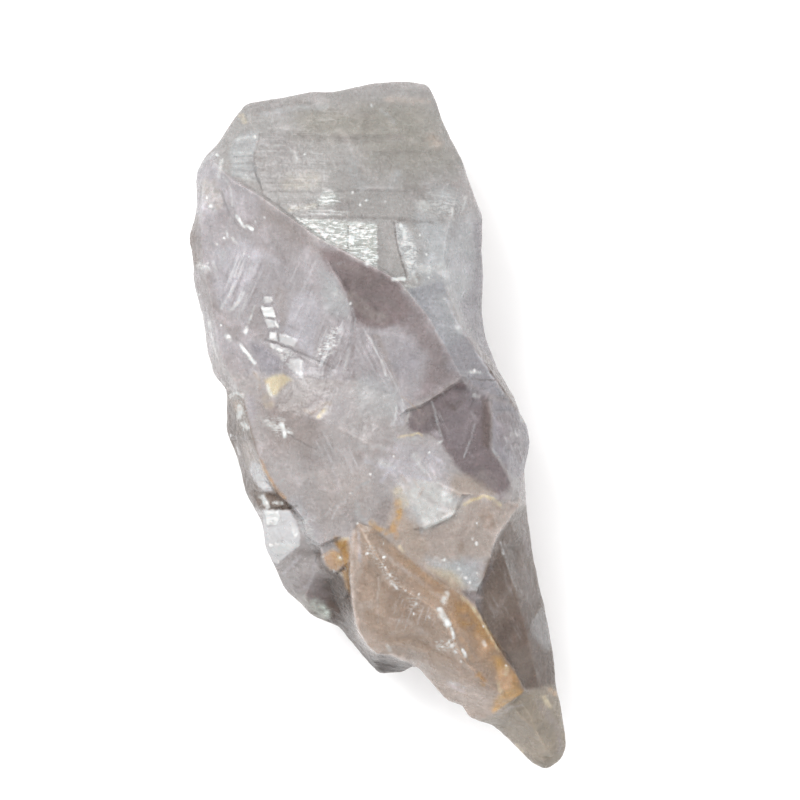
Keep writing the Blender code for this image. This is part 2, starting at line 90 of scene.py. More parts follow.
# The fine relief in millimetres: the bowls of the breaks, their chips and grain, and the growth lines.
BOWL_WIDTH, BOWL_DEPTH, BOWL_LEVEL = 4.2, 0.20, 0.35
CHIP_WIDTH, CHIP_DEPTH = 1.8, 0.10
GRAIN_WIDTH, GRAIN_DEPTH = 1.3, 0.05
GROWTH_WIDTH, GROWTH_DEPTH = 1.4, 0.10
BAND_GROWTH_WIDTH, BAND_GROWTH_DEPTH = 1.0, 0.05
BASE_GROWTH_WIDTH, BASE_GROWTH_DEPTH = 1.1, 0.12
SMOOTHER_FACES = 0.85
FLAT_BELOW = 2.0

# How far fine streaks and ribs lean from the stone's length.
STREAK_TURN = 0.40
RIB_TURN = -0.45

# What the eye sees of the stone's own colours is greyed by its gloss, so they are made richer, and set to the light.
LIGHTER = 0.985
RICHER = 1.15
DARKEST = 0.01
LIGHTEST = 0.93

# How far the borders of the washes wander, in millimetres, how strongly the painted highlight on edges (partly their
# pale chips) and the painted shade in hollows and on steep faces show, and how strongly stains show.
WANDER = 1.2
EDGE_LIGHT = 0.24
HOLLOW_SHADE = 0.30
STEEP_SHADE = 0.32
STAIN = 0.7

# The colours inside the stone, as light from 0 to 1.
LIGHTER_BY = (1.75, 1.72, 1.78, 1.0)
DARKER_BY = (0.50, 0.42, 0.41, 1.0)
PALE_STREAK = (0.80, 0.79, 0.81, 1.0)
DARK_STREAK = (0.24, 0.20, 0.20, 1.0)
PALE_GROWTH = (0.76, 0.76, 0.74, 1.0)
DARK_GROWTH = (0.26, 0.25, 0.24, 1.0)
# Painted highlight: where a glint flashes, the stone's colour is painted towards this near white.
PAINTED_GLINT_COLOUR = (0.91, 0.93, 0.92, 1.0)
QUARTZ_IOR = 1.54
ROUGHNESS = (0.18, 0.32)


def seen(red, green, blue):
    """A colour given as it looks on a screen, from 0 to 255, as the stone's own colour."""
    light = np.array([((value / 255 + 0.055) / 1.055) ** 2.4 for value in (red, green, blue)])
    richer = light.mean() + (light - light.mean()) * RICHER
    return np.clip(richer * LIGHTER, DARKEST, LIGHTEST)


# The first white is the milky lump's colour and the colour of painted glints; the silver paints reflections on
# silvery steps; the green-white is partly a painted sheen on the glittering strip.
WHITE = seen(238, 240, 238)
SILVER = seen(222, 221, 225)
GREEN_WHITE = seen(208, 216, 209)
MILKY = seen(192, 194, 195)
FROSTED = seen(203, 207, 210)
LAVENDER = seen(200, 198, 203)
PALE_MAUVE = seen(190, 186, 189)
MAUVE = seen(182, 178, 180)
BLUE_GREY = seen(172, 173, 177)
STEEL = seen(163, 160, 165)
GREY = seen(173, 171, 169)
GREEN_GREY = seen(164, 161, 154)
DARK_LINE = seen(128, 122, 120)
CLOUDY = seen(183, 178, 177)
BROWN_GREY = seen(160, 152, 149)
SMOKY = seen(140, 129, 129)
DEEP_SMOKY = seen(131, 121, 123)
# A dark colour of the stone that also serves as painted shadow beside the flake, and a darker one that is painted
# shadow under the flake's edges.
DARK_BODY_AND_SHADE = seen(92, 77, 68)
DEEPEST_SHADOW = seen(58, 44, 36)
DUSKY = seen(119, 106, 97)
BROWN = seen(150, 130, 114)
BEIGE = seen(186, 172, 160)
PINK_GREY = seen(184, 174, 167)
FLAKE = seen(171, 154, 140)
PINK_WHITE = seen(204, 193, 186)
AMBER = seen(170, 144, 119)
ORANGE = seen(206, 166, 108)
PEACH = seen(204, 174, 146)
RUST = seen(174, 133, 74)
CREAM = seen(224, 212, 184)
TIP = seen(155, 146, 133)

PRISM_FACE = [(-24, 57), (-8, 59), (9.5, 61), (13, 51), (15.5, 46), (12.5, 34.5), (11.5, 28), (6.5, 22), (0, 27.2),
              (-10.5, 32.8), (-20.2, 39.8), (-28.5, 45.8)]
CREASE_BAND = [(5, 24), (11.4, 25), (13.2, 18.8), (15.4, 15.8), (18.5, 11), (23.2, 4.2), (14.6, 8.6), (9.2, 18.4),
               (6.2, 22.4)]
GLITTER_ZONE = [(-14.4, 36.1), (-10.6, 33.2), (-5, 30.1), (0, 27.4), (0.1, 35.1), (-6, 35.7)]
BRIGHT_LEDGE = [(-10.8, 38.6), (-9.2, 41), (-6.6, 40.8), (-6.6, 38.9), (-9, 38)]
NOTCH_RIGHT = [(3.1, 35.3), (5.4, 34.7), (6.8, 31), (7, 27), (5.4, 25.4), (4.6, 28.4), (3.7, 31.6)]
FLANK_MIRROR = [(-19.9, -14.5), (-15.4, -14.7), (-14.2, -16.4), (-13.5, -18.6), (-13.6, -20.8), (-15.8, -22.6),
                (-17.6, -24.2), (-18.8, -23.2), (-19.9, -20.6), (-20, -17.4)]
BASE_FACE = [(-20.6, 41), (-14, 48.6), (2.4, 51.4), (8.8, 43.4), (11.2, 22), (13.4, 3), (12.2, -14), (7, -26.4),
             (-1.4, -29), (-9.6, -19), (-14.6, -3), (-19.4, 17)]

# Each wash: its colour, how much of it there is, how softly it ends in millimetres, and its corners.
WASHES = [
    (GREY, 1, 1.5, PRISM_FACE),
    (GREEN_GREY, 0.9, 3, [(-14, 50), (8, 49), (8, 57), (-14, 56)]),
    (GREEN_GREY, 0.75, 4, [(-2, 46), (7, 43), (14, 46), (11, 54), (0, 54)]),
    (PALE_MAUVE, 0.15, 2.5, [(-23, 54.6), (-4, 55.4), (9.4, 56), (9, 60.6), (-23.4, 57)]),
    (PALE_MAUVE, 0.15, 2.5, [(-20, 50), (-14, 51), (-11.6, 46), (-14, 42.2), (-20, 43)]),
    (FROSTED, 0.65, 2.2, [(7.6, 37), (12.6, 35.4), (18.6, 38), (18.8, 27), (18.4, 19), (15.2, 17.4), (12, 23),
                          (7.2, 23)]),
    (MILKY, 0.45, 1.6, [(9, 42), (13.6, 42.4), (15.6, 38), (10, 37)]),
    (STEEL, 0.9, 1, [(16.8, 36), (18.8, 36), (19, 20), (21.4, 9.4), (16.2, 14.6), (14.4, 20), (16.6, 26)]),
    (MILKY, 0.75, 0.4, [(-25.8, 50.4), (-20.6, 51.4), (-21.6, 47), (-20.6, 42.8), (-25.4, 43.4)]),
    (GREY, 0.8, 0.8, [(-29, 48.6), (-24, 54.6), (-22.2, 53.8), (-26.2, 48), (-26.8, 44.6)]),
    (MAUVE, 1, 0.35, [(-28.5, 45.6), (-20.2, 39.8), (-10.5, 32.8), (-5, 29.9), (0, 27.2), (3.6, 25.2), (9.2, 18.4),
                      (14.6, 8.6), (5, 3), (-4, 8), (-14, 8), (-26, 9), (-31, 20), (-34, 33), (-33, 44)]),
    (LAVENDER, 0.5, 1, [(-32, 46.6), (-27.6, 47.9), (-27, 43.4), (-25.8, 40), (-27.4, 36.2), (-32, 37)]),
    (PALE_MAUVE, 0.6, 0.3, [(-25.9, 43), (-25.4, 38.2), (-23.7, 35.4), (-19.2, 37.4), (-20.9, 39.9)]),
    (DUSKY, 0.8, 0.9, [(-34, 36), (-31.8, 36.6), (-30.6, 31), (-30.8, 27.6), (-33, 28)]),
    (BROWN_GREY, 0.3, 2, [(-25, 36), (-19.5, 38.5), (-12, 33), (-14, 29), (-20, 29)]),
    # Painted shade: a darker band along the face just below the main ridge.
    (BROWN_GREY, 0.65, 1.4, [(-20, 39.4), (-10.5, 32.6), (-3, 28.6), (-8, 28.6), (-14, 32), (-20, 36.4)]),
    (LAVENDER, 0.65, 1.2, [(-28.8, 30), (-23, 32.4), (-19.6, 29.6), (-23.4, 20.4), (-27.6, 20.6)]),
    (BROWN_GREY, 0.5, 1, [(-32.6, 26.6), (-29.4, 26.6), (-28.2, 22), (-24.4, 17.6), (-22.8, 14.4), (-25, 15.4),
                          (-28.8, 19), (-31.4, 22)]),
    (PALE_MAUVE, 0.7, 1, [(-29.8, 18.6), (-25, 15.6), (-22, 11.6), (-27.4, 12.4), (-29.4, 13)]),
    (BROWN_GREY, 0.35, 1.5, [(-28, 13), (-24.6, 13), (-23, 9), (-26, 7.6)]),
    (BROWN_GREY, 0.45, 0.8, [(-17.6, 25), (-15.4, 24), (-15.8, 17.6), (-17.4, 17.4), (-18.2, 22.6)]),
    (BROWN_GREY, 0.35, 0.6, [(-22, 21), (-20.4, 20.6), (-19.4, 17), (-19.4, 15), (-22.8, 15.6)]),
    (STEEL, 0.85, 0.35, [(-22.4, 14.8), (-19.4, 13.9), (-16.7, 11.4), (-17.2, 9.7), (-18.6, 8.5), (-20.2, 9.6)]),
    (LAVENDER, 0.7, 0.35, [(-14.2, 22.6), (-12, 23.4), (-9.7, 20.4), (-11.4, 12.2), (-16.4, 16.2)]),
    (MILKY, 0.65, 0.8, [(-9.4, 27), (-6.6, 25.4), (-4.4, 21.2), (-5, 18.6), (-9.2, 19.8), (-9.6, 23)]),
    (SMOKY, 1, 0.9, [(-9.8, 31.6), (-5, 29.4), (0, 27), (3.6, 24.9), (5.6, 22.6), (5.4, 18), (1.6, 17),
                     (-2.4, 17.4), (-4.6, 18.2), (-4.6, 21.4), (-6.2, 25), (-8.4, 27.4)]),
    (SMOKY, 0.75, 1.5, [(2, 24), (5.8, 22.4), (9, 17.8), (12.2, 12.6), (14.4, 8.6), (9.6, 5.6), (6.4, 4.6),
                        (9, 12), (5, 16.6)]),
    (STEEL, 0.5, 1.6, [(2.8, 14.8), (5.8, 15.6), (8, 11.4), (6, 8), (3, 9)]),
    (DARK_LINE, 0.35, 0.9, [(9.8, 16.4), (11, 14.8), (13.6, 9.6), (11.6, 9.2)]),
    (BLUE_GREY, 1, 0.25, CREASE_BAND),
    (MILKY, 0.25, 1.4, [(8.6, 22.6), (12, 23.8), (15.2, 16.4), (12.6, 15.8), (9.4, 19)]),
    (STEEL, 0.7, 1.2, [(11.8, 12.8), (15.6, 15.2), (23.4, 4.2), (18, 6), (14.4, 8.4)]),
    (CLOUDY, 1, 1.6, [(-26, 9), (-14, 8), (-4, 8), (5, 3), (8, -2), (14, -8), (3.4, -12.5), (-3, -17),
                      (-10, -20.5), (-14, -15), (-20, -8), (-24, 2)]),
    (BROWN_GREY, 0.95, 2, [(-20, 4), (-9, 7), (-9, 1), (-12, -5), (-19, -4)]),
    (LAVENDER, 0.2, 1.6, [(-12, 6.4), (-5, 6.8), (-4, 2), (-8, 0), (-12, 2)]),
    (MILKY, 0.55, 1.6, [(-4.4, 9), (2.4, 8), (4.4, 3), (2, 1), (-3, 3)]),
    (LAVENDER, 0.55, 1.8, [(0, -5), (4, -2.6), (11, -3.4), (12.6, -7.6), (7, -10), (1, -8.6)]),
    (BROWN_GREY, 0.1, 0.8, [(-7.4, -13), (-4.4, -12.6), (-3.4, -16.4), (-4.6, -19.4), (-8.6, -20.4), (-10, -17)]),
    (PALE_MAUVE, 0.6, 0.9, [(-15.6, -12.8), (-13, -13.2), (-10.6, -17.6), (-9.6, -20.6), (-11.6, -20.4),
                            (-13.4, -16)]),
    (BROWN_GREY, 0.75, 0.7, [(2.2, -12.2), (2.8, -16), (2, -18.2), (0, -16.9), (-0.8, -15.4), (0.6, -13.4)]),
    (DEEP_SMOKY, 1, 0.45, [(5.4, 0.2), (6.2, 2.4), (9.6, 4.7), (12, 6.4), (14.4, 8), (16.6, 6), (19.4, 5.4),
                           (19.7, -3.6), (22, -8), (23.5, -9.8), (21.6, -12.3), (17, -9.8), (13.6, -7), (11, -2.8),
                           (9, -1.4), (6.4, -0.9)]),
    (STEEL, 0.2, 1.2, [(12, 3.6), (15, 5.6), (17.4, 4), (16.6, -1), (14.4, -4.6), (12.2, -3)]),
    (STEEL, 0.4, 1, [(14.6, 8), (19, 6.6), (19.6, 3.4), (16.4, 4)]),
    (DARK_BODY_AND_SHADE, 0.5, 0.4, [(18.2, 5), (19.5, 4.6), (19.8, -0.6), (19.4, -4), (18.2, -3.4), (18, 1)]),
    (STEEL, 1, 0.3, [(19.9, 4.8), (24.4, 3.2), (27, 0), (27, -4), (26.2, -8.2), (23.7, -9.4), (20, -3.9)]),
    (SMOKY, 0.45, 1, [(20.6, 2.6), (25.2, 0.8), (25.6, -6.2), (21.2, -3.6)]),
    (MILKY, 0.15, 1, [(22.6, 0.2), (25.6, -0.4), (26, -3), (23, -3.2)]),
    (LAVENDER, 0.5, 0.5, [(2.5, 0.4), (3.2, 3.6), (4.2, 4.9), (5.6, 2.3), (4.8, 0.2)]),
    (PINK_GREY, 1, 0.5, [(3, -12.6), (6.4, -17.6), (9.8, -17), (14.4, -13.2), (17.2, -12.4), (22.2, -13.6),
                         (24.6, -12.6), (27, -14), (23.6, -15.2), (20.4, -19.4), (19.2, -23.2), (17.4, -28.4),
                         (13.4, -28.4), (6.4, -23.2), (0.6, -19)]),
    (BEIGE, 0.7, 0.8, [(12.4, -9.2), (15.4, -8.4), (18.2, -9.9), (20.6, -11.7), (17, -12.2), (13.4, -11.6)]),
    (BEIGE, 0.7, 1.2, [(3.6, -13.6), (7, -16.8), (8.6, -21.6), (7, -23.4), (3.4, -19)]),
    (BROWN_GREY, 0.5, 1, [(20.4, -12.6), (23.4, -12.4), (26.6, -15), (24, -14.6)]),
    (MILKY, 1, 1.4, [(9, -22.4), (13, -23.6), (18.6, -23), (17.6, -28.2), (13.4, -28.2)]),
    (CREAM, 0.5, 1.2, [(9, -24.6), (13, -25.6), (15, -28.2), (12.6, -28.2)]),
    (PINK_WHITE, 0.25, 2.5, [(-11, -8), (-2, -8), (-2, -15), (-10, -16)]),
    (WHITE, 0.6, 1.8, [(3.8, -10.4), (9, -9.6), (13.6, -11.2), (14.8, -13.4), (12.4, -15.8), (8.6, -17.6),
                       (6.8, -16), (4.6, -12.2)]),
    # Painted shadow beside and under the flake's overhanging left edge.
    (DARK_BODY_AND_SHADE, 1, 0.45, [(-19.6, -24.6), (-17, -25.2), (-13.4, -21.4), (-10, -21.8), (-9.6, -23.4), (-6.4, -26.4),
                          (-4.5, -29), (-4.2, -33), (-3.3, -36.6), (-1, -39.4), (6.6, -41.8), (5.6, -45),
                          (-1, -45), (-8, -37), (-15, -32.8)]),
    (CLOUDY, 0.95, 2, [(-19, -24.6), (-13.4, -21), (-10, -21.4), (-9.8, -25), (-11.4, -29), (-12, -34),
                       (-17.6, -29)]),
    (SMOKY, 0.65, 1.2, [(-13.2, -26), (-9.6, -26), (-8.4, -30), (-10, -31.6), (-13.6, -30)]),
    # Painted shadow beside and under the flake's overhanging edges.
    (DEEPEST_SHADOW, 0.25, 1.6, [(-9, -27), (-5.2, -28), (-4.8, -35), (-9.4, -35.6), (-11.4, -31)]),
    (DEEPEST_SHADOW, 1, 0.8, [(-3, -40.2), (5.4, -42), (4.6, -44), (0, -44)]),
    (FLAKE, 1, 0.25, [(-3.7, -16.6), (-1, -17.4), (2.4, -20.3), (8.8, -25.7), (14.6, -29.3), (17.2, -31.6),
                      (21.4, -38.8), (25.6, -46.2), (21.4, -49), (19.6, -52.6), (15.6, -51.4), (11.6, -48.6),
                      (6.4, -41.8), (2.4, -40), (-0.6, -39.6), (-3.4, -36.4), (-4.5, -30), (-4.7, -24),
                      (-4.4, -19.6)]),
    (AMBER, 0.8, 1.6, [(2.4, -20.6), (8.4, -25.4), (14.4, -29), (17.4, -32), (21.4, -39), (25.2, -46), (20, -43),
                       (15.6, -37.4), (11.4, -31.4), (6.4, -27.6)]),
    (BROWN, 0.5, 1.6, [(1, -27.6), (5, -29), (8.6, -31), (9.6, -35.6), (5.4, -34), (1.6, -33)]),
    # The flake's pale left border, partly a painted highlight.
    (PINK_WHITE, 0.45, 1, [(-4.6, -19), (-2.9, -20), (-3.2, -29), (-2.2, -35), (1.6, -38.8), (-0.4, -39.8),
                           (-3.4, -36.6), (-4.8, -30)]),
    (PINK_WHITE, 0.5, 1.6, [(3.6, -39.6), (9.4, -42), (16, -45.4), (20, -48), (18, -51.6), (12, -48.4), (7, -42.4)]),
    (RUST, 0.55, 0.9, [(13.6, -31), (16.2, -31), (19.2, -34.4), (22.2, -39.6), (19.6, -38.8), (16.6, -36),
                       (14.6, -34.4)]),
    (ORANGE, 0.85, 0.7, [(20.3, -40.4), (22, -40), (25.6, -46.2), (22.2, -48.6), (20, -49.8), (21.6, -46.6)]),
    (PEACH, 0.9, 0.6, [(21.4, -42), (23, -42.6), (23.6, -45.8), (21.2, -46.4), (20.8, -44)]),
    (DUSKY, 1, 0.4, [(24.4, -14.2), (22.2, -17.2), (20.4, -20.2), (19.2, -23.8), (17.8, -28.4), (14.6, -28.9),
                     (17.4, -31.4), (21.6, -38.8), (25.7, -46), (32.6, -46.4), (32, -38), (28.6, -24), (27.4, -13)]),
    (DARK_BODY_AND_SHADE, 0.6, 1.5, [(23, -33), (28, -30), (32, -46), (24, -46), (20, -38)]),
    (STEEL, 0.2, 1.6, [(24.4, -25), (27.2, -25), (28.4, -30), (25.6, -31)]),
    (STEEL, 0.5, 0.8, [(14.6, -28.8), (18, -28.4), (18.2, -32), (17, -31.2)]),
    (GREEN_GREY, 0.2, 1.8, [(22, -39), (27, -39), (28, -44), (25, -45)]),
    (MILKY, 0.5, 0.5, [(26.9, -34.4), (29.2, -31.4), (31.4, -38), (29.6, -39.6), (27.6, -37)]),
    (TIP, 1, 0.6, [(20.2, -50), (22.4, -48.6), (25.8, -46.4), (29.4, -45.4), (32.8, -46), (35, -57), (29.6, -62),
                   (22, -56), (18, -52.4)]),
    (DUSKY, 1, 0.4, [(-27.6, 6.6), (-23.8, 6), (-22.4, 1), (-21, -4), (-19.2, -8.4), (-16.2, -12.6),
                     (-14.2, -14.4), (-20.6, -14.6), (-24.2, -12), (-26, -4), (-27.6, -1)]),
    (DARK_BODY_AND_SHADE, 0.8, 0.7, [(-27, 4.6), (-25.4, 4), (-24.6, -2.6), (-23.4, -8), (-20.6, -14), (-22.8, -13),
                           (-25.6, -6)]),
    (PALE_MAUVE, 0.8, 0.25, [(-22.9, 5.5), (-21.5, 5.4), (-20.9, 2.2), (-21.8, 0.2), (-22.6, 2.6)]),
    (PEACH, 0.3, 0.6, [(-25.6, 4.6), (-24, 4.4), (-23.6, 2.6), (-25, 2.4)]),
    (PINK_GREY, 0.7, 0.5, [(-23.6, -3), (-21.8, -3.2), (-20.6, -6), (-22.4, -8.6), (-23.2, -6)]),
    # Painted reflection: the silver of the flank's steps and its mirror-like patch.
    (SILVER, 0.75, 0.3, [(-21.9, -6.2), (-20.4, -6.8), (-19.2, -9.4), (-18.2, -11.4), (-19.8, -11.4),
                         (-21.8, -9.4), (-22.6, -8)]),
    (SILVER, 0.8, 0.2, FLANK_MIRROR),
    (CREAM, 0.9, 0.35, [(-19.5, 8), (-18.2, 8.7), (-16.4, 9.2), (-15, 8), (-16.4, 6.9), (-17.4, 5.5), (-18.6, 5.4)]),
    (PEACH, 0.9, 0.3, [(-9.6, -22.7), (-7.6, -21.4), (-6.4, -22.4), (-5.9, -24), (-6.8, -25.3), (-8.4, -24.9)]),
    (ORANGE, 0.35, 0.4, [(-8.2, -21.8), (-6, -22.2), (-5.8, -24.4), (-7.4, -24.6)]),
    (RUST, 0.95, 0.6, [(-7.3, -19.6), (-4.9, -19.8), (-4.7, -25.6), (-6, -24.6), (-6.3, -22.2)]),
    (RUST, 0.9, 0.4, [(-6.4, -25.2), (-5, -25), (-4.6, -29.4), (-5.6, -28)]),
    # Painted sheen on the glittering strip above the ridge.
    (GREEN_WHITE, 0.4, 0.2, GLITTER_ZONE),
    (GREY, 0.8, 0.2, [(0.1, 27.4), (2.4, 26.2), (3.1, 30), (2.8, 35), (0.3, 35.2)]),
    (MILKY, 0.8, 0.4, NOTCH_RIGHT),
    # Painted sheen on the glittering ledge higher up the prism face.
    (GREEN_WHITE, 0.4, 0.8, BRIGHT_LEDGE),
]

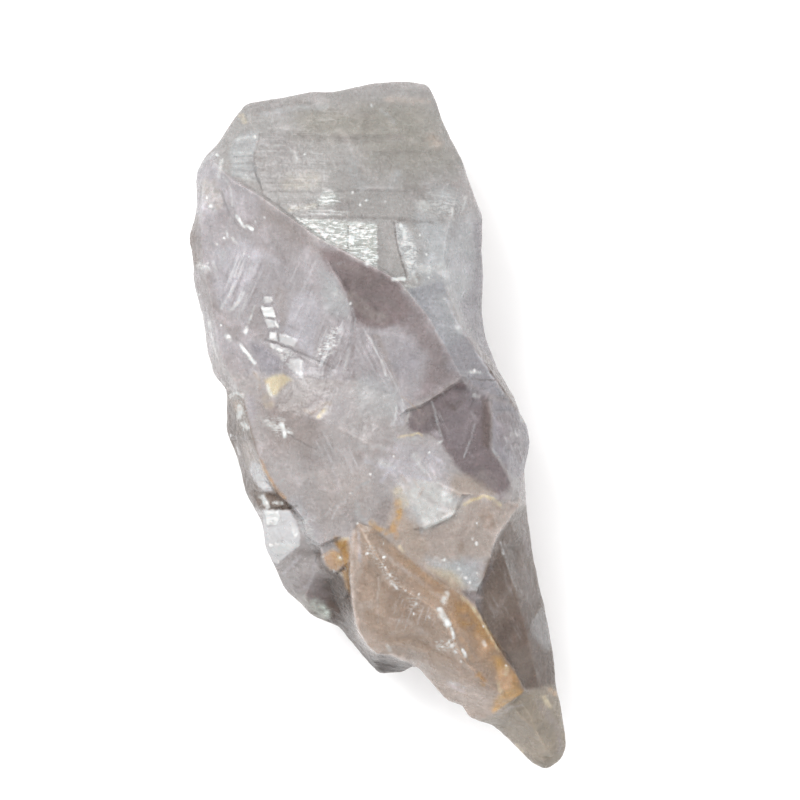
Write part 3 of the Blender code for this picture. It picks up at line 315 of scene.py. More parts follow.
# Each mark: its colour, how much of it there is, half its width in millimetres, and its line of points.
MARKS = [
    # The prism face: growth lines, faint veils, the small steps along its left side, and painted glints.
    (DARK_LINE, 0.35, 0.7, [(-14, 50.6), (-6, 50), (4, 50.2)]),
    (DARK_LINE, 0.3, 0.25, [(-17, 45.9), (-11, 45.6), (-5, 45.7)]),
    (DARK_LINE, 0.25, 0.3, [(-4, 47.9), (3, 47.6), (9, 47.9)]),
    (DARK_LINE, 0.3, 0.2, [(-19.8, 41), (-12, 40.7), (-2, 41), (5, 40.8)]),
    (DARK_LINE, 0.35, 0.2, [(-12, 38.4), (-8.6, 38.2), (-5, 38.6)]),
    (DARK_LINE, 0.35, 0.3, [(-13.4, 36.3), (-4, 36.3), (3, 36), (9.6, 35.4)]),
    (DARK_LINE, 0.55, 0.14, [(-20.5, 51), (-21, 49), (-21.5, 46.2), (-21.1, 43.6), (-20.2, 41.2)]),
    (WHITE, 0.35, 0.35, [(-24.4, 50.1), (-22.4, 50.2), (-20.9, 50.4)]),
    (WHITE, 0.45, 0.12, [(-25, 47.7), (-21.9, 47.6)]),
    (WHITE, 0.35, 0.12, [(-25.2, 46.4), (-21.8, 46.2)]),
    (WHITE, 0.35, 0.12, [(-25.4, 45.3), (-21.9, 45.4)]),
    (DARK_LINE, 0.3, 0.12, [(-25, 47), (-21.8, 47)]),
    (DARK_LINE, 0.3, 0.12, [(-25.2, 45.8), (-21.9, 45.8)]),
    (DARK_LINE, 0.35, 0.12, [(-25.2, 44.7), (-21.5, 44.4)]),
    (WHITE, 0.55, 0.13, [(-23.6, 43.3), (-22.2, 43), (-21, 42.6)]),
    (WHITE, 0.45, 0.12, [(-24.4, 43.9), (-22, 43.6)]),
    (WHITE, 0.5, 0.35, [(-27.7, 43.6), (-27.2, 46.4)]),
    (CREAM, 0.45, 0.5, [(-23.8, 54.2), (-23.2, 53.2)]),
    (WHITE, 0.35, 0.2, [(-19, 48.6), (-16.6, 49.2), (-14.6, 47.8), (-13.8, 46.2)]),
    (MILKY, 0.5, 0.5, [(-20, 54.4), (-14, 55.6), (-9, 55.6)]),
    (PINK_WHITE, 0.55, 0.5, [(1.4, 57.2), (5, 57), (8.6, 56.6)]),
    (MILKY, 0.5, 0.3, [(0.4, 55.2), (1.8, 54.2), (3.2, 52.8)]),
    (MILKY, 0.4, 0.9, [(-4.4, 46), (-4, 43.4), (-2.6, 41.6)]),
    (MILKY, 0.5, 0.7, [(3.4, 44), (2.6, 41.6)]),
    (CREAM, 0.15, 1.5, [(-15.4, 42.6), (-11.6, 42.8)]),
    (WHITE, 0.3, 0.15, [(-7.7, 46.4), (-7.3, 44.2)]),
    (BEIGE, 0.45, 1, [(9.4, 50.2), (10.4, 49.2)]),
    (MILKY, 0.7, 1.5, [(12.2, 40.4), (12.8, 39.2)]),
    (WHITE, 0.5, 0.9, [(7.4, 38.4), (8.2, 38.2)]),
    (WHITE, 0.75, 0.2, [(13, 38), (13.3, 35.8)]),
    (WHITE, 0.6, 0.25, [(15.4, 40), (14.9, 37.8)]),
    (WHITE, 0.6, 0.12, [(-11.6, 37.5), (-8, 37.4), (-5, 37.2)]),
    (WHITE, 0.7, 0.12, [(-11.6, 36.95), (-8.6, 36.85), (-6.2, 36.8)]),
    (CREAM, 0.25, 0.4, [(-15.2, 37.7), (-13.2, 37.9), (-11, 38.3)]),
    # The glittering strip of the prism face above the ridge with its painted glints, and the short upright crack
    # beside it.
    (DARK_LINE, 0.6, 0.1, [(-5, 35.2), (-5.1, 30.8)]),
    (DARK_LINE, 0.5, 0.1, [(-12.2, 34.2), (-6, 34.2), (-1, 34.3)]),
    (DARK_LINE, 0.4, 0.1, [(-9.6, 32.6), (-6.2, 32.7)]),
    (DARK_LINE, 0.45, 0.1, [(-7.4, 31.3), (-2, 31.4)]),
    (DARK_LINE, 0.85, 0.17, [(2.9, 35.4), (3.3, 32.6), (3.9, 29.8), (4.7, 27.4), (5.1, 26)]),
    (DARK_LINE, 0.45, 0.3, [(0.1, 35), (0.2, 31), (0, 27.6)]),
    (WHITE, 0.8, 0.3, [(4, 35), (4.6, 34), (4.8, 32.6)]),
    (WHITE, 0.75, 0.25, [(3.9, 31.9), (5, 31.6), (6, 31.8)]),
    (WHITE, 0.65, 0.25, [(5.2, 30.2), (6.6, 30)]),
    (WHITE, 0.8, 0.25, [(5.1, 28.4), (5.9, 28.3)]),
    (WHITE, 0.85, 0.28, [(2.7, 25.5), (4.7, 25.5)]),
    (WHITE, 0.6, 0.2, [(6.2, 26.2), (6.9, 25.1)]),
    (WHITE, 0.6, 0.18, [(5, 24.5), (6.6, 24.1)]),
    (WHITE, 0.5, 0.7, [(7.6, 27.4), (9, 27.2)]),
    (WHITE, 0.45, 0.9, [(10.8, 27.6), (12, 26.6)]),
    (LAVENDER, 0.5, 1.2, [(13.8, 28.4), (15.4, 27.6)]),
    (MILKY, 0.5, 0.8, [(11.6, 22), (14.2, 18), (15, 16.6)]),
    (WHITE, 0.5, 0.4, [(13.9, 17.2), (14.3, 16.6)]),
    # The narrow striated band down to the right, with a painted highlight along its edge and painted glints.
    (SILVER, 0.8, 0.16, [(11.9, 22.4), (13.4, 18.8), (15.3, 15.9), (17.1, 13), (19.6, 9.2), (22.1, 5.7)]),
    (DARK_LINE, 0.75, 0.14, [(17.2, 13.2), (18.4, 11.8), (19.9, 9.2), (22.3, 5.9)]),
    (DARK_BODY_AND_SHADE, 0.75, 0.42, [(18.6, 12.2), (19.6, 10.6), (21.3, 8), (23.4, 5), (24.3, 3)]),
    (BROWN_GREY, 0.6, 0.5, [(16, 15.2), (18.2, 12.6), (19.4, 11.4)]),
    (DARK_LINE, 0.7, 0.15, [(14.6, 8.5), (17.6, 8.1), (20.8, 8)]),
    (DARK_LINE, 0.35, 0.12, [(11.4, 16), (15, 15.8)]),
    (DARK_LINE, 0.35, 0.12, [(12.8, 11.8), (17.6, 11.4)]),
    (DARK_LINE, 0.35, 0.12, [(13.8, 10.4), (18.6, 10.2)]),
    (DARK_LINE, 0.4, 0.12, [(15.4, 6.8), (20, 6.4), (22, 5.2)]),
    (DARK_LINE, 0.45, 0.12, [(19.8, 4.8), (21.6, 5.2), (23.4, 4.2)]),
    (MILKY, 0.5, 0.15, [(13.6, 9.6), (17, 9.2), (19.4, 9.2)]),
    (WHITE, 0.75, 0.22, [(16.1, 9.5), (17.8, 9.4)]),
    (WHITE, 0.5, 0.3, [(16.9, 5.4), (17.7, 5.2)]),
    # The shoulder and the upper left face: painted glints, and the streaked panel.
    (CREAM, 0.2, 1.6, [(-29.4, 41.6), (-28.4, 39.2)]),
    (MILKY, 0.6, 0.3, [(-31.4, 44.6), (-30.2, 46.4), (-28.4, 47.8)]),
    (WHITE, 0.5, 0.15, [(-26.8, 43.4), (-25.6, 41.6), (-25.3, 38.4)]),
    (DARK_LINE, 0.35, 0.2, [(-25.2, 38.2), (-23.9, 35.6), (-22.6, 34.2)]),
    (WHITE, 0.9, 0.22, [(-24.5, 36.6), (-23.6, 35.3), (-23.2, 34.7)]),
    (WHITE, 0.95, 0.22, [(-22.8, 34.9), (-21.7, 34.3)]),
    (WHITE, 0.65, 0.2, [(-26.3, 34), (-26.1, 32.9)]),
    (WHITE, 0.75, 0.18, [(-25.3, 32.9), (-24.5, 31.8)]),
    (PALE_MAUVE, 0.5, 0.5, [(-30.6, 36), (-30.2, 30), (-29.6, 27.6)]),
    (BROWN_GREY, 0.5, 0.5, [(-32.4, 36.4), (-32.8, 33), (-32, 29.4)]),
    (WHITE, 0.5, 0.5, [(-31.2, 28.1), (-29.8, 27.4)]),
    (WHITE, 0.45, 0.16, [(-22.9, 31), (-23.9, 28.6), (-24.9, 26)]),
    (WHITE, 0.55, 0.18, [(-24.7, 25.3), (-25.9, 22.8), (-27.1, 20.7)]),
    (MILKY, 0.6, 0.2, [(-21.9, 28.2), (-23, 25.6)]),
    (WHITE, 0.5, 0.3, [(-23.3, 23.2), (-24.6, 21.2), (-25.7, 20.1)]),
    (WHITE, 0.4, 0.18, [(-22, 24.4), (-23.4, 21), (-24.3, 18.8)]),
    (WHITE, 0.4, 0.25, [(-28.7, 28.6), (-28, 26.2)]),
    (MILKY, 0.5, 0.4, [(-26.8, 30.4), (-27.4, 27.8)]),
    (DARK_LINE, 0.35, 0.14, [(-26.8, 26.4), (-24.4, 25.5)]),
    (DARK_LINE, 0.3, 0.2, [(-25.6, 24.6), (-27.4, 21.8)]),
    (DARK_LINE, 0.3, 0.2, [(-23.6, 26.4), (-25, 23)]),
    (WHITE, 0.6, 0.14, [(-21.4, 21), (-21.9, 19.2), (-22.5, 17.8)]),
    (WHITE, 0.9, 0.25, [(-22.85, 17.2), (-23, 16.3)]),
    (WHITE, 1, 0.25, [(-23.9, 14.1), (-22.6, 12.5), (-21.3, 10.9)]),
    (PALE_MAUVE, 0.5, 0.25, [(-28.8, 20.4), (-25.4, 17.4), (-23, 14.4), (-20.4, 11)]),
    (WHITE, 0.6, 0.35, [(-26.4, 15.9), (-25.7, 15)]),
    (WHITE, 0.65, 0.25, [(-29.4, 18.1), (-29.1, 17.2)]),
    (WHITE, 0.55, 0.16, [(-29.1, 16.4), (-28.6, 14), (-28.2, 12)]),
    (PALE_MAUVE, 0.6, 0.25, [(-18.4, 23.6), (-17.4, 20), (-17, 17.4)]),
    (PALE_MAUVE, 0.45, 0.3, [(-20.4, 33.6), (-18.4, 31.4), (-17.4, 29)]),
    (LAVENDER, 0.4, 0.8, [(-19.6, 29.6), (-17.4, 28.4)]),
    (PALE_MAUVE, 0.4, 0.25, [(-13.2, 33.2), (-12, 29.6), (-12.6, 26.6)]),
    # The cracked and silvery steps in the middle of the left side, their silver a painted reflection, with painted
    # glints.
    (DARK_LINE, 0.5, 0.16, [(-19.2, 14.9), (-17.4, 14.3), (-16, 13.7)]),
    (DARK_LINE, 0.35, 0.14, [(-15.4, 13.5), (-13.4, 12.6), (-11.6, 11.9), (-9.4, 10.9), (-8, 10.2)]),
    (WHITE, 0.8, 0.25, [(-18.3, 14), (-17.2, 13.4), (-15.6, 12.9)]),
    (WHITE, 0.5, 0.3, [(-16.6, 11.8), (-15.2, 12.4)]),
    (SILVER, 0.6, 0.6, [(-14.6, 11.6), (-13.4, 10.4), (-13.6, 8.8)]),
    (PALE_MAUVE, 0.6, 0.14, [(-9.3, 20.4), (-10, 16.4), (-11.3, 12)]),
    (DARK_LINE, 0.3, 0.16, [(-9, 20.2), (-9.7, 16.4), (-11, 12.2)]),
    (DARK_LINE, 0.3, 0.25, [(-15.4, 17.4), (-14, 16.8)]),
    (PALE_MAUVE, 0.45, 0.14, [(-16.4, 17), (-14.4, 21.6), (-12.4, 23.2), (-10.4, 20.8)]),
    (WHITE, 0.35, 0.6, [(-7.4, 23.6), (-6.4, 22.4)]),
    (MILKY, 0.6, 0.14, [(-4.4, 20.4), (-3.8, 18.6), (-4.2, 16.4)]),
    (DARK_LINE, 0.45, 0.14, [(-5.4, 18.4), (-5.8, 16), (-6.6, 13.4), (-8.2, 10.8)]),
    (SMOKY, 0.4, 0.35, [(-5.3, 14.2), (-6.4, 11.6), (-7, 9.8)]),
    (SMOKY, 0.4, 0.3, [(-3.8, 16.2), (-4.4, 12), (-4.1, 8.4)]),
    (SMOKY, 0.5, 0.3, [(-8, 12), (-9, 9.8)]),
    (WHITE, 0.55, 0.2, [(-4.9, 13.4), (-5.4, 11.2), (-5.9, 9.4)]),
    (PALE_MAUVE, 0.8, 0.18, [(-4.7, 16.4), (-5.6, 13.4), (-6.4, 11.6)]),
    (PALE_MAUVE, 0.7, 0.15, [(-7.2, 13), (-8.4, 10.6)]),
    (SMOKY, 0.35, 0.2, [(-10.9, 11.4), (-10.2, 9.8), (-9.6, 10.6)]),
    (CREAM, 0.25, 0.8, [(-19.4, 5), (-18.8, 3.6)]),
    (WHITE, 0.7, 0.3, [(-19.1, 7.2), (-18.6, 5.6)]),
    (BEIGE, 0.5, 0.3, [(-21.6, 9.4), (-20.6, 8.2), (-20.4, 6.6)]),
    # The dark scoop and the ribs under it, with painted glints on the ribs.
    (DARK_LINE, 0.45, 0.7, [(-3.6, 25), (-1.4, 24.4), (0.8, 25.4)]),
    (BROWN_GREY, 0.9, 0.9, [(-4.4, 22.6), (-2, 20), (1, 18.6)]),
    (BROWN_GREY, 0.4, 0.5, [(-7, 28.2), (-3.6, 27.2), (-1.4, 26)]),
    (PALE_MAUVE, 0.35, 0.2, [(-8.6, 27.6), (-5.8, 28.6)]),
    (DARK_LINE, 0.35, 0.5, [(-2.2, 22.4), (1.6, 22), (3.6, 20.4)]),
    (DEEP_SMOKY, 0.5, 0.25, [(2.2, 20), (2.8, 19.6)]),
    (PALE_MAUVE, 0.35, 0.18, [(4.1, 15.4), (4.3, 14.2)]),
    (WHITE, 0.5, 0.16, [(-1.5, 15.4), (-0.7, 14.2), (0, 12.6)]),
    (WHITE, 0.6, 0.22, [(0.7, 11.4), (1.3, 9.7), (1.5, 8.9)]),
    (PALE_MAUVE, 0.6, 0.2, [(-2, 14.2), (-0.6, 12.2), (0.4, 10.2)]),
    (BROWN_GREY, 0.55, 0.6, [(-0.2, 15.4), (1.2, 12.8), (2.2, 9.6), (3.4, 7)]),
    (MILKY, 0.6, 0.25, [(3.3, 7.8), (3.1, 6.4), (2.9, 5.2)]),
    (PALE_MAUVE, 0.6, 0.8, [(-2.6, 13), (-1.6, 10.6)]),
    (BEIGE, 0.55, 0.14, [(4.1, 5.2), (6, 3.8), (7.8, 2.2)]),
    (WHITE, 0.55, 0.14, [(3.3, 3.6), (3, 0.8)]),
    (WHITE, 0.55, 0.14, [(4.2, 4.6), (4.6, 3.4)]),
    (WHITE, 0.45, 0.14, [(4.4, 3), (4.2, 0.6)]),
    (WHITE, 0.4, 0.14, [(5.4, 2.4), (5.2, 0.8)]),
    (DARK_LINE, 0.3, 0.14, [(3.8, 3.4), (3.6, 0.6)]),
    # The dark notch with its pale needles, and the side facet, with painted glints.
    (BROWN_GREY, 0.45, 1.2, [(7.4, 1.4), (8.8, 2.8)]),
    (BROWN_GREY, 0.4, 1.2, [(18.2, -8.6), (20.2, -9.8)]),
    (DARK_BODY_AND_SHADE, 0.35, 0.4, [(9.6, 4.6), (10.8, 5.4), (12.6, 7)]),
    (DARK_BODY_AND_SHADE, 0.4, 0.5, [(12, 4), (13.4, 3.2), (14.4, 4)]),
    (MILKY, 0.7, 0.16, [(9.5, 4.2), (10.1, 2), (10.6, 0), (11.4, -2.4)]),
    (PALE_MAUVE, 0.75, 0.5, [(10, -1), (10.8, -2.2)]),
    (WHITE, 0.65, 0.16, [(10.6, -2.8), (11.2, -2.6)]),
    (MILKY, 0.6, 0.13, [(17, 0.4), (16.2, -2.4), (15, -5.4)]),
    (PALE_MAUVE, 0.35, 0.3, [(16.4, 2.6), (17.4, 0.6)]),
    (PALE_MAUVE, 0.3, 0.12, [(15.6, -5.6), (16.2, -6.4), (16.6, -5.4), (16, -4.6)]),
    (DARK_LINE, 0.7, 0.14, [(19.85, 4.6), (20.1, 1), (19.8, -3.6)]),
    (MILKY, 0.5, 0.16, [(19.9, -3.8), (21.8, -6.8), (23.8, -9.2)]),
    (SMOKY, 0.45, 0.6, [(21.2, 1.2), (22.4, 2), (23.4, 1.4)]),
    (WHITE, 0.4, 0.3, [(23.4, -1.4), (24.6, -1.6)]),
    (SMOKY, 0.35, 0.7, [(22.4, -7.2), (24.2, -8.2)]),
    (WHITE, 0.9, 0.4, [(25.1, 2), (25.5, 1.2), (25.9, 0.8)]),
    (SMOKY, 0.2, 0.4, [(16.6, -6.2), (19.6, -8), (22, -10.6)]),
    (DEEP_SMOKY, 0.6, 0.2, [(20.8, -13.2), (22.2, -11.8), (23.2, -10.4)]),
    # The cloudy middle: veils, fine arcs, painted glints, and its frosty lower left border.
    (CREAM, 0.8, 0.18, [(3.6, -2), (4.8, -1.6), (6.2, -1.5), (7.2, -1.2), (7.8, -1.6)]),
    (MILKY, 0.6, 0.3, [(3, -2.3), (5.4, -2.2), (7.4, -2.2)]),
    (WHITE, 0.4, 0.6, [(0.8, -6.4), (2.6, -7.2)]),
    (LAVENDER, 0.8, 0.35, [(-2, -6), (2, -7.6), (6, -8.6), (10, -9.4)]),
    (LAVENDER, 0.7, 0.3, [(0.6, -9.6), (3.4, -6.2), (6.8, -6.6), (9.4, -5), (11.6, -6.6)]),
    (WHITE, 0.4, 0.6, [(6.6, -5), (8.2, -7.4)]),
    (MILKY, 0.5, 0.25, [(-3.2, -3.6), (0.4, -3.4), (1.2, -3.8)]),
    (BROWN_GREY, 0.5, 0.5, [(-4, -5), (0, -4.6), (3.4, -5.4)]),
    (CREAM, 0.75, 0.35, [(-10.2, 1.6), (-9, 3)]),
    (BEIGE, 0.45, 0.4, [(-12.4, 2.8), (-11.2, 2.2), (-9.6, 3.8), (-8.2, 3.9)]),
    (PALE_MAUVE, 0.6, 0.25, [(-8.4, 3.4), (-7, 3), (-6.2, 2.2)]),
    (WHITE, 0.95, 0.35, [(-16.7, 0.2), (-16.2, -0.8), (-16.1, -1.7)]),
    (WHITE, 0.55, 0.25, [(-16, -0.8), (-14.9, -1.2)]),
    (WHITE, 0.5, 0.5, [(-19.4, 0.6), (-17.6, -0.2)]),
    (DARK_LINE, 0.5, 0.12, [(-15, -1.6), (-13.4, -2.8), (-11.6, -3.6), (-10.6, -4)]),
    (MILKY, 0.6, 0.12, [(-17.6, -10.6), (-17.2, -9.8), (-16.3, -9.2)]),
    (MILKY, 0.45, 0.12, [(-13.6, -6.4), (-13.2, -7.6)]),
    (MILKY, 0.45, 0.12, [(-7.4, -6.4), (-8, -7.4)]),
    (MILKY, 0.4, 0.12, [(-11.2, -8.6), (-10.8, -10)]),
    (PEACH, 0.65, 0.35, [(-20.3, -6), (-19, -8.8), (-17.6, -11), (-16.2, -12.4)]),
    (MILKY, 0.55, 0.9, [(-14.6, -13.2), (-13, -15.8), (-12.2, -18.6), (-11.2, -20.2)]),
    (MILKY, 0.55, 0.14, [(-10, -16.4), (-8.2, -14.8), (-6.4, -13.2)]),
    (BROWN_GREY, 0.5, 0.2, [(-9.8, -16.9), (-7.8, -15.2)]),
    (MILKY, 0.5, 0.25, [(-4.2, -11.8), (-3.4, -10.6), (-1.4, -9.6)]),
    (MILKY, 0.45, 0.5, [(-3.6, -13.6), (-3.2, -16), (-1.6, -16.6)]),
    (PALE_MAUVE, 0.35, 0.2, [(-8.6, -5), (-7.2, -9), (-6.6, -11.6)]),
    (DARK_LINE, 0.25, 0.14, [(-4.6, 2.6), (-2.6, 0.8), (-2, -1.4)]),
    (DARK_LINE, 0.45, 0.16, [(-12.6, -20.6), (-10.4, -21), (-8.6, -20.8), (-7, -21)]),
    # The steep left flank, with painted glints.
    (WHITE, 0.75, 0.25, [(-25.9, 5.2), (-24.6, 5.8), (-23.4, 5.4)]),
    (WHITE, 0.9, 0.4, [(-24.1, 3.4), (-23.8, 2.4), (-24.2, 1.6)]),
    (WHITE, 0.8, 0.35, [(-23.4, 0.4), (-22.6, -0.2)]),
    (DARK_BODY_AND_SHADE, 0.7, 0.5, [(-26.2, 7), (-26.4, 2), (-25.6, -2), (-24.6, -6), (-23.2, -10), (-21, -14)]),
    (DARK_LINE, 0.7, 0.4, [(-26, -1.9), (-24.2, -2.2), (-22.8, -2)]),
    (DARK_LINE, 0.6, 0.5, [(-24.4, -3.2), (-24, -6), (-22.6, -8.8), (-22.2, -11)]),
    (WHITE, 0.5, 0.2, [(-24.6, -3.8), (-24.2, -5)]),
    (DARK_LINE, 0.5, 0.3, [(-21.6, -3.2), (-21.4, -4.8), (-20.4, -6.2)]),
    (DARK_BODY_AND_SHADE, 0.5, 0.2, [(-21.4, -11.4), (-19.2, -11.7), (-17.4, -12.4)]),
    (WHITE, 0.95, 0.4, [(-20, -12.4), (-19.5, -13.4), (-19.2, -14)]),
    (WHITE, 0.8, 0.22, [(-18.2, -13.4), (-16.6, -13.4)]),
    (DARK_BODY_AND_SHADE, 0.55, 0.18, [(-20.2, -14.2), (-17.6, -14.4), (-15.2, -14.2), (-14, -13.9)]),
    (SMOKY, 0.55, 0.14, [(-19.8, -17.6), (-17.4, -17.4), (-15.6, -16.4)]),
    (SMOKY, 0.45, 0.14, [(-17.4, -17.6), (-16.6, -19.8), (-17.6, -22.2)]),
    (GREY, 0.8, 0.3, [(-20.4, -15.4), (-20.5, -19), (-19.8, -22), (-18.6, -24)]),
    # The white lump with its painted highlights, the block under it, and the stained hollow beside it.
    (WHITE, 0.6, 0.6, [(11.6, -12.2), (12.6, -12.6)]),
    (MILKY, 0.55, 0.5, [(13.4, -13.2), (14, -12.6)]),
    (CLOUDY, 0.55, 0.4, [(7.4, -11.4), (9, -12.6), (10.6, -13.8), (12.2, -14.2)]),
    (CLOUDY, 0.4, 0.3, [(9.4, -10.8), (10.8, -11.8)]),
    (WHITE, 0.75, 0.3, [(8.2, -17.6), (9.6, -17), (11.2, -16.3), (12.4, -15.6), (13.4, -14.8)]),
    (WHITE, 0.6, 0.5, [(8.2, -16.2), (9, -16.8)]),
    (MILKY, 0.6, 0.3, [(6.2, -13.4), (6.8, -15.4), (7.6, -17.4), (7.8, -19)]),
    (PINK_WHITE, 0.6, 0.3, [(4.2, -8.6), (5.4, -10.6), (6, -12.2)]),
    (PINK_WHITE, 0.5, 0.25, [(6.4, -9.2), (7, -10.6)]),
    (PINK_WHITE, 0.5, 0.25, [(8, -10.6), (7.2, -12.2)]),
    (WHITE, 0.7, 0.3, [(6, -11.4), (6.4, -12.2)]),
    (SMOKY, 0.5, 0.14, [(12.9, -16.6), (11, -17), (9.6, -17.8)]),
    (CREAM, 0.85, 0.3, [(15.2, -13.6), (16.6, -12.8), (18.4, -12.2), (20, -12.6), (21.4, -13.6)]),
    (ORANGE, 0.2, 0.2, [(16.4, -12.9), (17.4, -12.5)]),
    (BEIGE, 0.6, 0.35, [(20, -13.2), (21.2, -14.4)]),
    (BROWN, 0.5, 1.2, [(18.8, -15.4), (19.6, -16.8)]),
    (BROWN, 0.4, 0.6, [(14.5, -20.6), (14.6, -21.4)]),
    (PINK_WHITE, 0.8, 0.25, [(23.8, -14.6), (22.6, -16.4), (20.9, -18.8), (19.6, -21.4)]),
    (PINK_WHITE, 0.6, 0.2, [(18.2, -21.6), (19.4, -22.4), (20.2, -23.2)]),
    (PALE_MAUVE, 0.5, 0.7, [(15.6, -23.4), (18.2, -24.6)]),
    (ORANGE, 0.7, 0.6, [(3.5, -13.2), (3.8, -14.6), (3.3, -16.4), (2.8, -17.8)]),
    (ORANGE, 0.6, 0.5, [(-1, -16.8), (0, -17.8), (1.4, -18.4), (2.8, -18)]),
    (PEACH, 0.55, 0.5, [(2.6, -17.6), (3.4, -19.2)]),
    (CREAM, 0.8, 0.3, [(3.9, -20.9), (4.5, -22)]),
    (CREAM, 0.4, 0.9, [(3.6, -11.4), (4.6, -13.4)]),
    (DEEP_SMOKY, 0.5, 0.3, [(2, -17.6), (1.6, -18.2)]),
    # The long amber flake: its bright left border, partly a painted highlight, ripples, brown folds and painted
    # glints.
    (PINK_WHITE, 0.8, 0.3, [(-4, -18), (-4.5, -22), (-4.5, -27), (-4.2, -32), (-3.2, -36), (-1.2, -38.8)]),
    (PINK_WHITE, 0.6, 0.35, [(-1.2, -38.9), (1.6, -39.4), (4.4, -40.6), (6.4, -41.6)]),
    (PALE_MAUVE, 0.6, 0.3, [(-3.4, -17.4), (-3.2, -20), (-3, -23.4)]),
    (BROWN, 0.55, 0.14, [(-1.6, -22.8), (-0.4, -24.2), (0.5, -25.5)]),
    (BROWN, 0.65, 0.7, [(-1.8, -24.8), (-1, -25.4)]),
    (BROWN, 0.5, 0.14, [(0.4, -25.6), (-0.2, -26.6), (-0.1, -28.6)]),
    (PINK_WHITE, 0.55, 0.16, [(0.2, -26.2), (0, -29.6), (0.1, -34.2)]),
    (BROWN, 0.35, 0.12, [(-3.4, -27.2), (-1.8, -27.6), (-0.4, -27.2)]),
    (BROWN, 0.3, 0.12, [(-3.4, -28.2), (-1.8, -28.6), (-0.4, -28.2)]),
    (BROWN, 0.3, 0.12, [(-3.3, -29.2), (-1.8, -29.5), (-0.4, -29.2)]),
    (BROWN, 0.5, 0.5, [(0.8, -27.6), (2.4, -29), (4.6, -29.8)]),
    (BROWN, 0.45, 0.35, [(3.6, -37.2), (6.2, -36.8), (8.8, -38.2)]),
    (BROWN, 0.5, 0.3, [(8.8, -38.4), (11.6, -39.8), (14, -41), (16.2, -43)]),
    (BROWN, 0.5, 0.3, [(-3, -30), (-1.2, -33), (0.4, -33.4)]),
    (PINK_WHITE, 0.4, 0.5, [(2, -33.8), (5.4, -34.2), (8.6, -36.4)]),
    (PINK_WHITE, 0.4, 0.3, [(2.4, -36), (4.4, -35.6)]),
    (PINK_WHITE, 0.4, 0.8, [(-2.4, -31.4), (-0.8, -31)]),
    (PINK_WHITE, 0.5, 0.4, [(0.2, -21.4), (4, -24.4), (8, -27.4), (10.8, -29.6)]),
    (BROWN, 0.4, 0.6, [(6.4, -26.2), (9, -27.6), (12, -28.6)]),
    (BEIGE, 0.7, 0.2, [(2.6, -20.4), (7.2, -24.4), (12, -28), (14.4, -29), (17, -31.6)]),
    (CREAM, 0.6, 0.25, [(14.6, -29.6), (16.6, -31.6), (18.8, -35), (21.2, -39.4)]),
    (BROWN, 0.65, 1.1, [(15.2, -33), (16.2, -34.8)]),
    (PEACH, 0.6, 0.5, [(17.6, -36.6), (18.8, -38.6)]),
    (PEACH, 0.5, 0.4, [(12.6, -32.6), (14.6, -37), (16.6, -40.8)]),
    (RUST, 0.6, 0.5, [(17.9, -43.4), (18.5, -45)]),
    (ORANGE, 0.6, 0.35, [(20.3, -50), (21.6, -48.8), (23.4, -47.6), (25, -46.4)]),
    (CREAM, 0.6, 0.4, [(22.6, -42.2), (22.4, -43.2)]),
    (CREAM, 0.6, 0.35, [(21.2, -44.9), (21.4, -46.2)]),
    (WHITE, 0.75, 0.55, [(11.9, -29.2), (11.7, -30.4)]),
    (WHITE, 0.95, 0.5, [(10.9, -32), (11.7, -33.4), (12.3, -34.4)]),
    (WHITE, 0.9, 0.22, [(12.8, -35.2), (13.3, -36.6)]),
    (WHITE, 0.95, 0.22, [(14.9, -38.9), (15.2, -39.6), (15.3, -40.2)]),
    (WHITE, 0.8, 0.2, [(2.5, -27.4), (3.4, -28.1)]),
    (WHITE, 0.55, 0.3, [(1.6, -38.2), (2.2, -39.1)]),
    (WHITE, 0.7, 0.2, [(12.7, -44.7), (13.5, -45.1)]),
    (WHITE, 0.45, 0.3, [(18.5, -37.6), (18.7, -38.2)]),
    (PALE_MAUVE, 0.55, 0.6, [(12.6, -45), (14.8, -46)]),
    # The stained block to the left of the flake, and the dark lower body, partly painted shadow beside the flake.
    (PINK_WHITE, 0.8, 0.2, [(-9.5, -22.8), (-8.6, -22.2), (-7.6, -21.5)]),
    (CREAM, 0.7, 0.25, [(-6.8, -22.6), (-6.3, -23.2)]),
    (BROWN, 0.5, 0.14, [(-6.2, -22.4), (-5.9, -23.8), (-5.9, -25.2)]),
    (RUST, 0.6, 0.4, [(-5.6, -22.2), (-5.2, -24.4)]),
    (CREAM, 0.45, 0.4, [(-6.2, -19.8), (-5.2, -19.6)]),
    (CREAM, 0.6, 0.16, [(-6.9, -25.4), (-5.9, -26.1)]),
    (PALE_MAUVE, 0.65, 0.3, [(-16.4, -25.8), (-14.8, -24.2), (-13.6, -22.8)]),
    (PALE_MAUVE, 0.45, 0.35, [(-11, -23.2), (-11.2, -26), (-12.2, -28), (-13.6, -28.8)]),
    (GREEN_WHITE, 0.95, 1.1, [(-10.8, -31.4), (-9.4, -32.8)]),
    (GREEN_GREY, 0.7, 0.9, [(-13.4, -29.8), (-12.2, -32), (-10, -33.6)]),
    (DARK_BODY_AND_SHADE, 0.5, 0.4, [(-10.4, -22.4), (-9.8, -24.6), (-8, -26)]),
    # The dark right face and the tip, with painted cream glints.
    (MILKY, 0.6, 0.16, [(21.3, -20), (21.9, -22), (22.8, -24.4), (23.7, -27.2)]),
    (BROWN_GREY, 0.35, 0.5, [(20.4, -33), (22, -30), (23.4, -28)]),
    (DEEP_SMOKY, 0.5, 0.35, [(20, -23.4), (19.4, -25.6), (18.4, -27.8)]),
    (DEEP_SMOKY, 0.4, 0.8, [(25.6, -16.4), (26.4, -22)]),
    (DARK_BODY_AND_SHADE, 0.4, 0.16, [(17.6, -31.8), (19.6, -35.6), (22.2, -40), (24.6, -44)]),
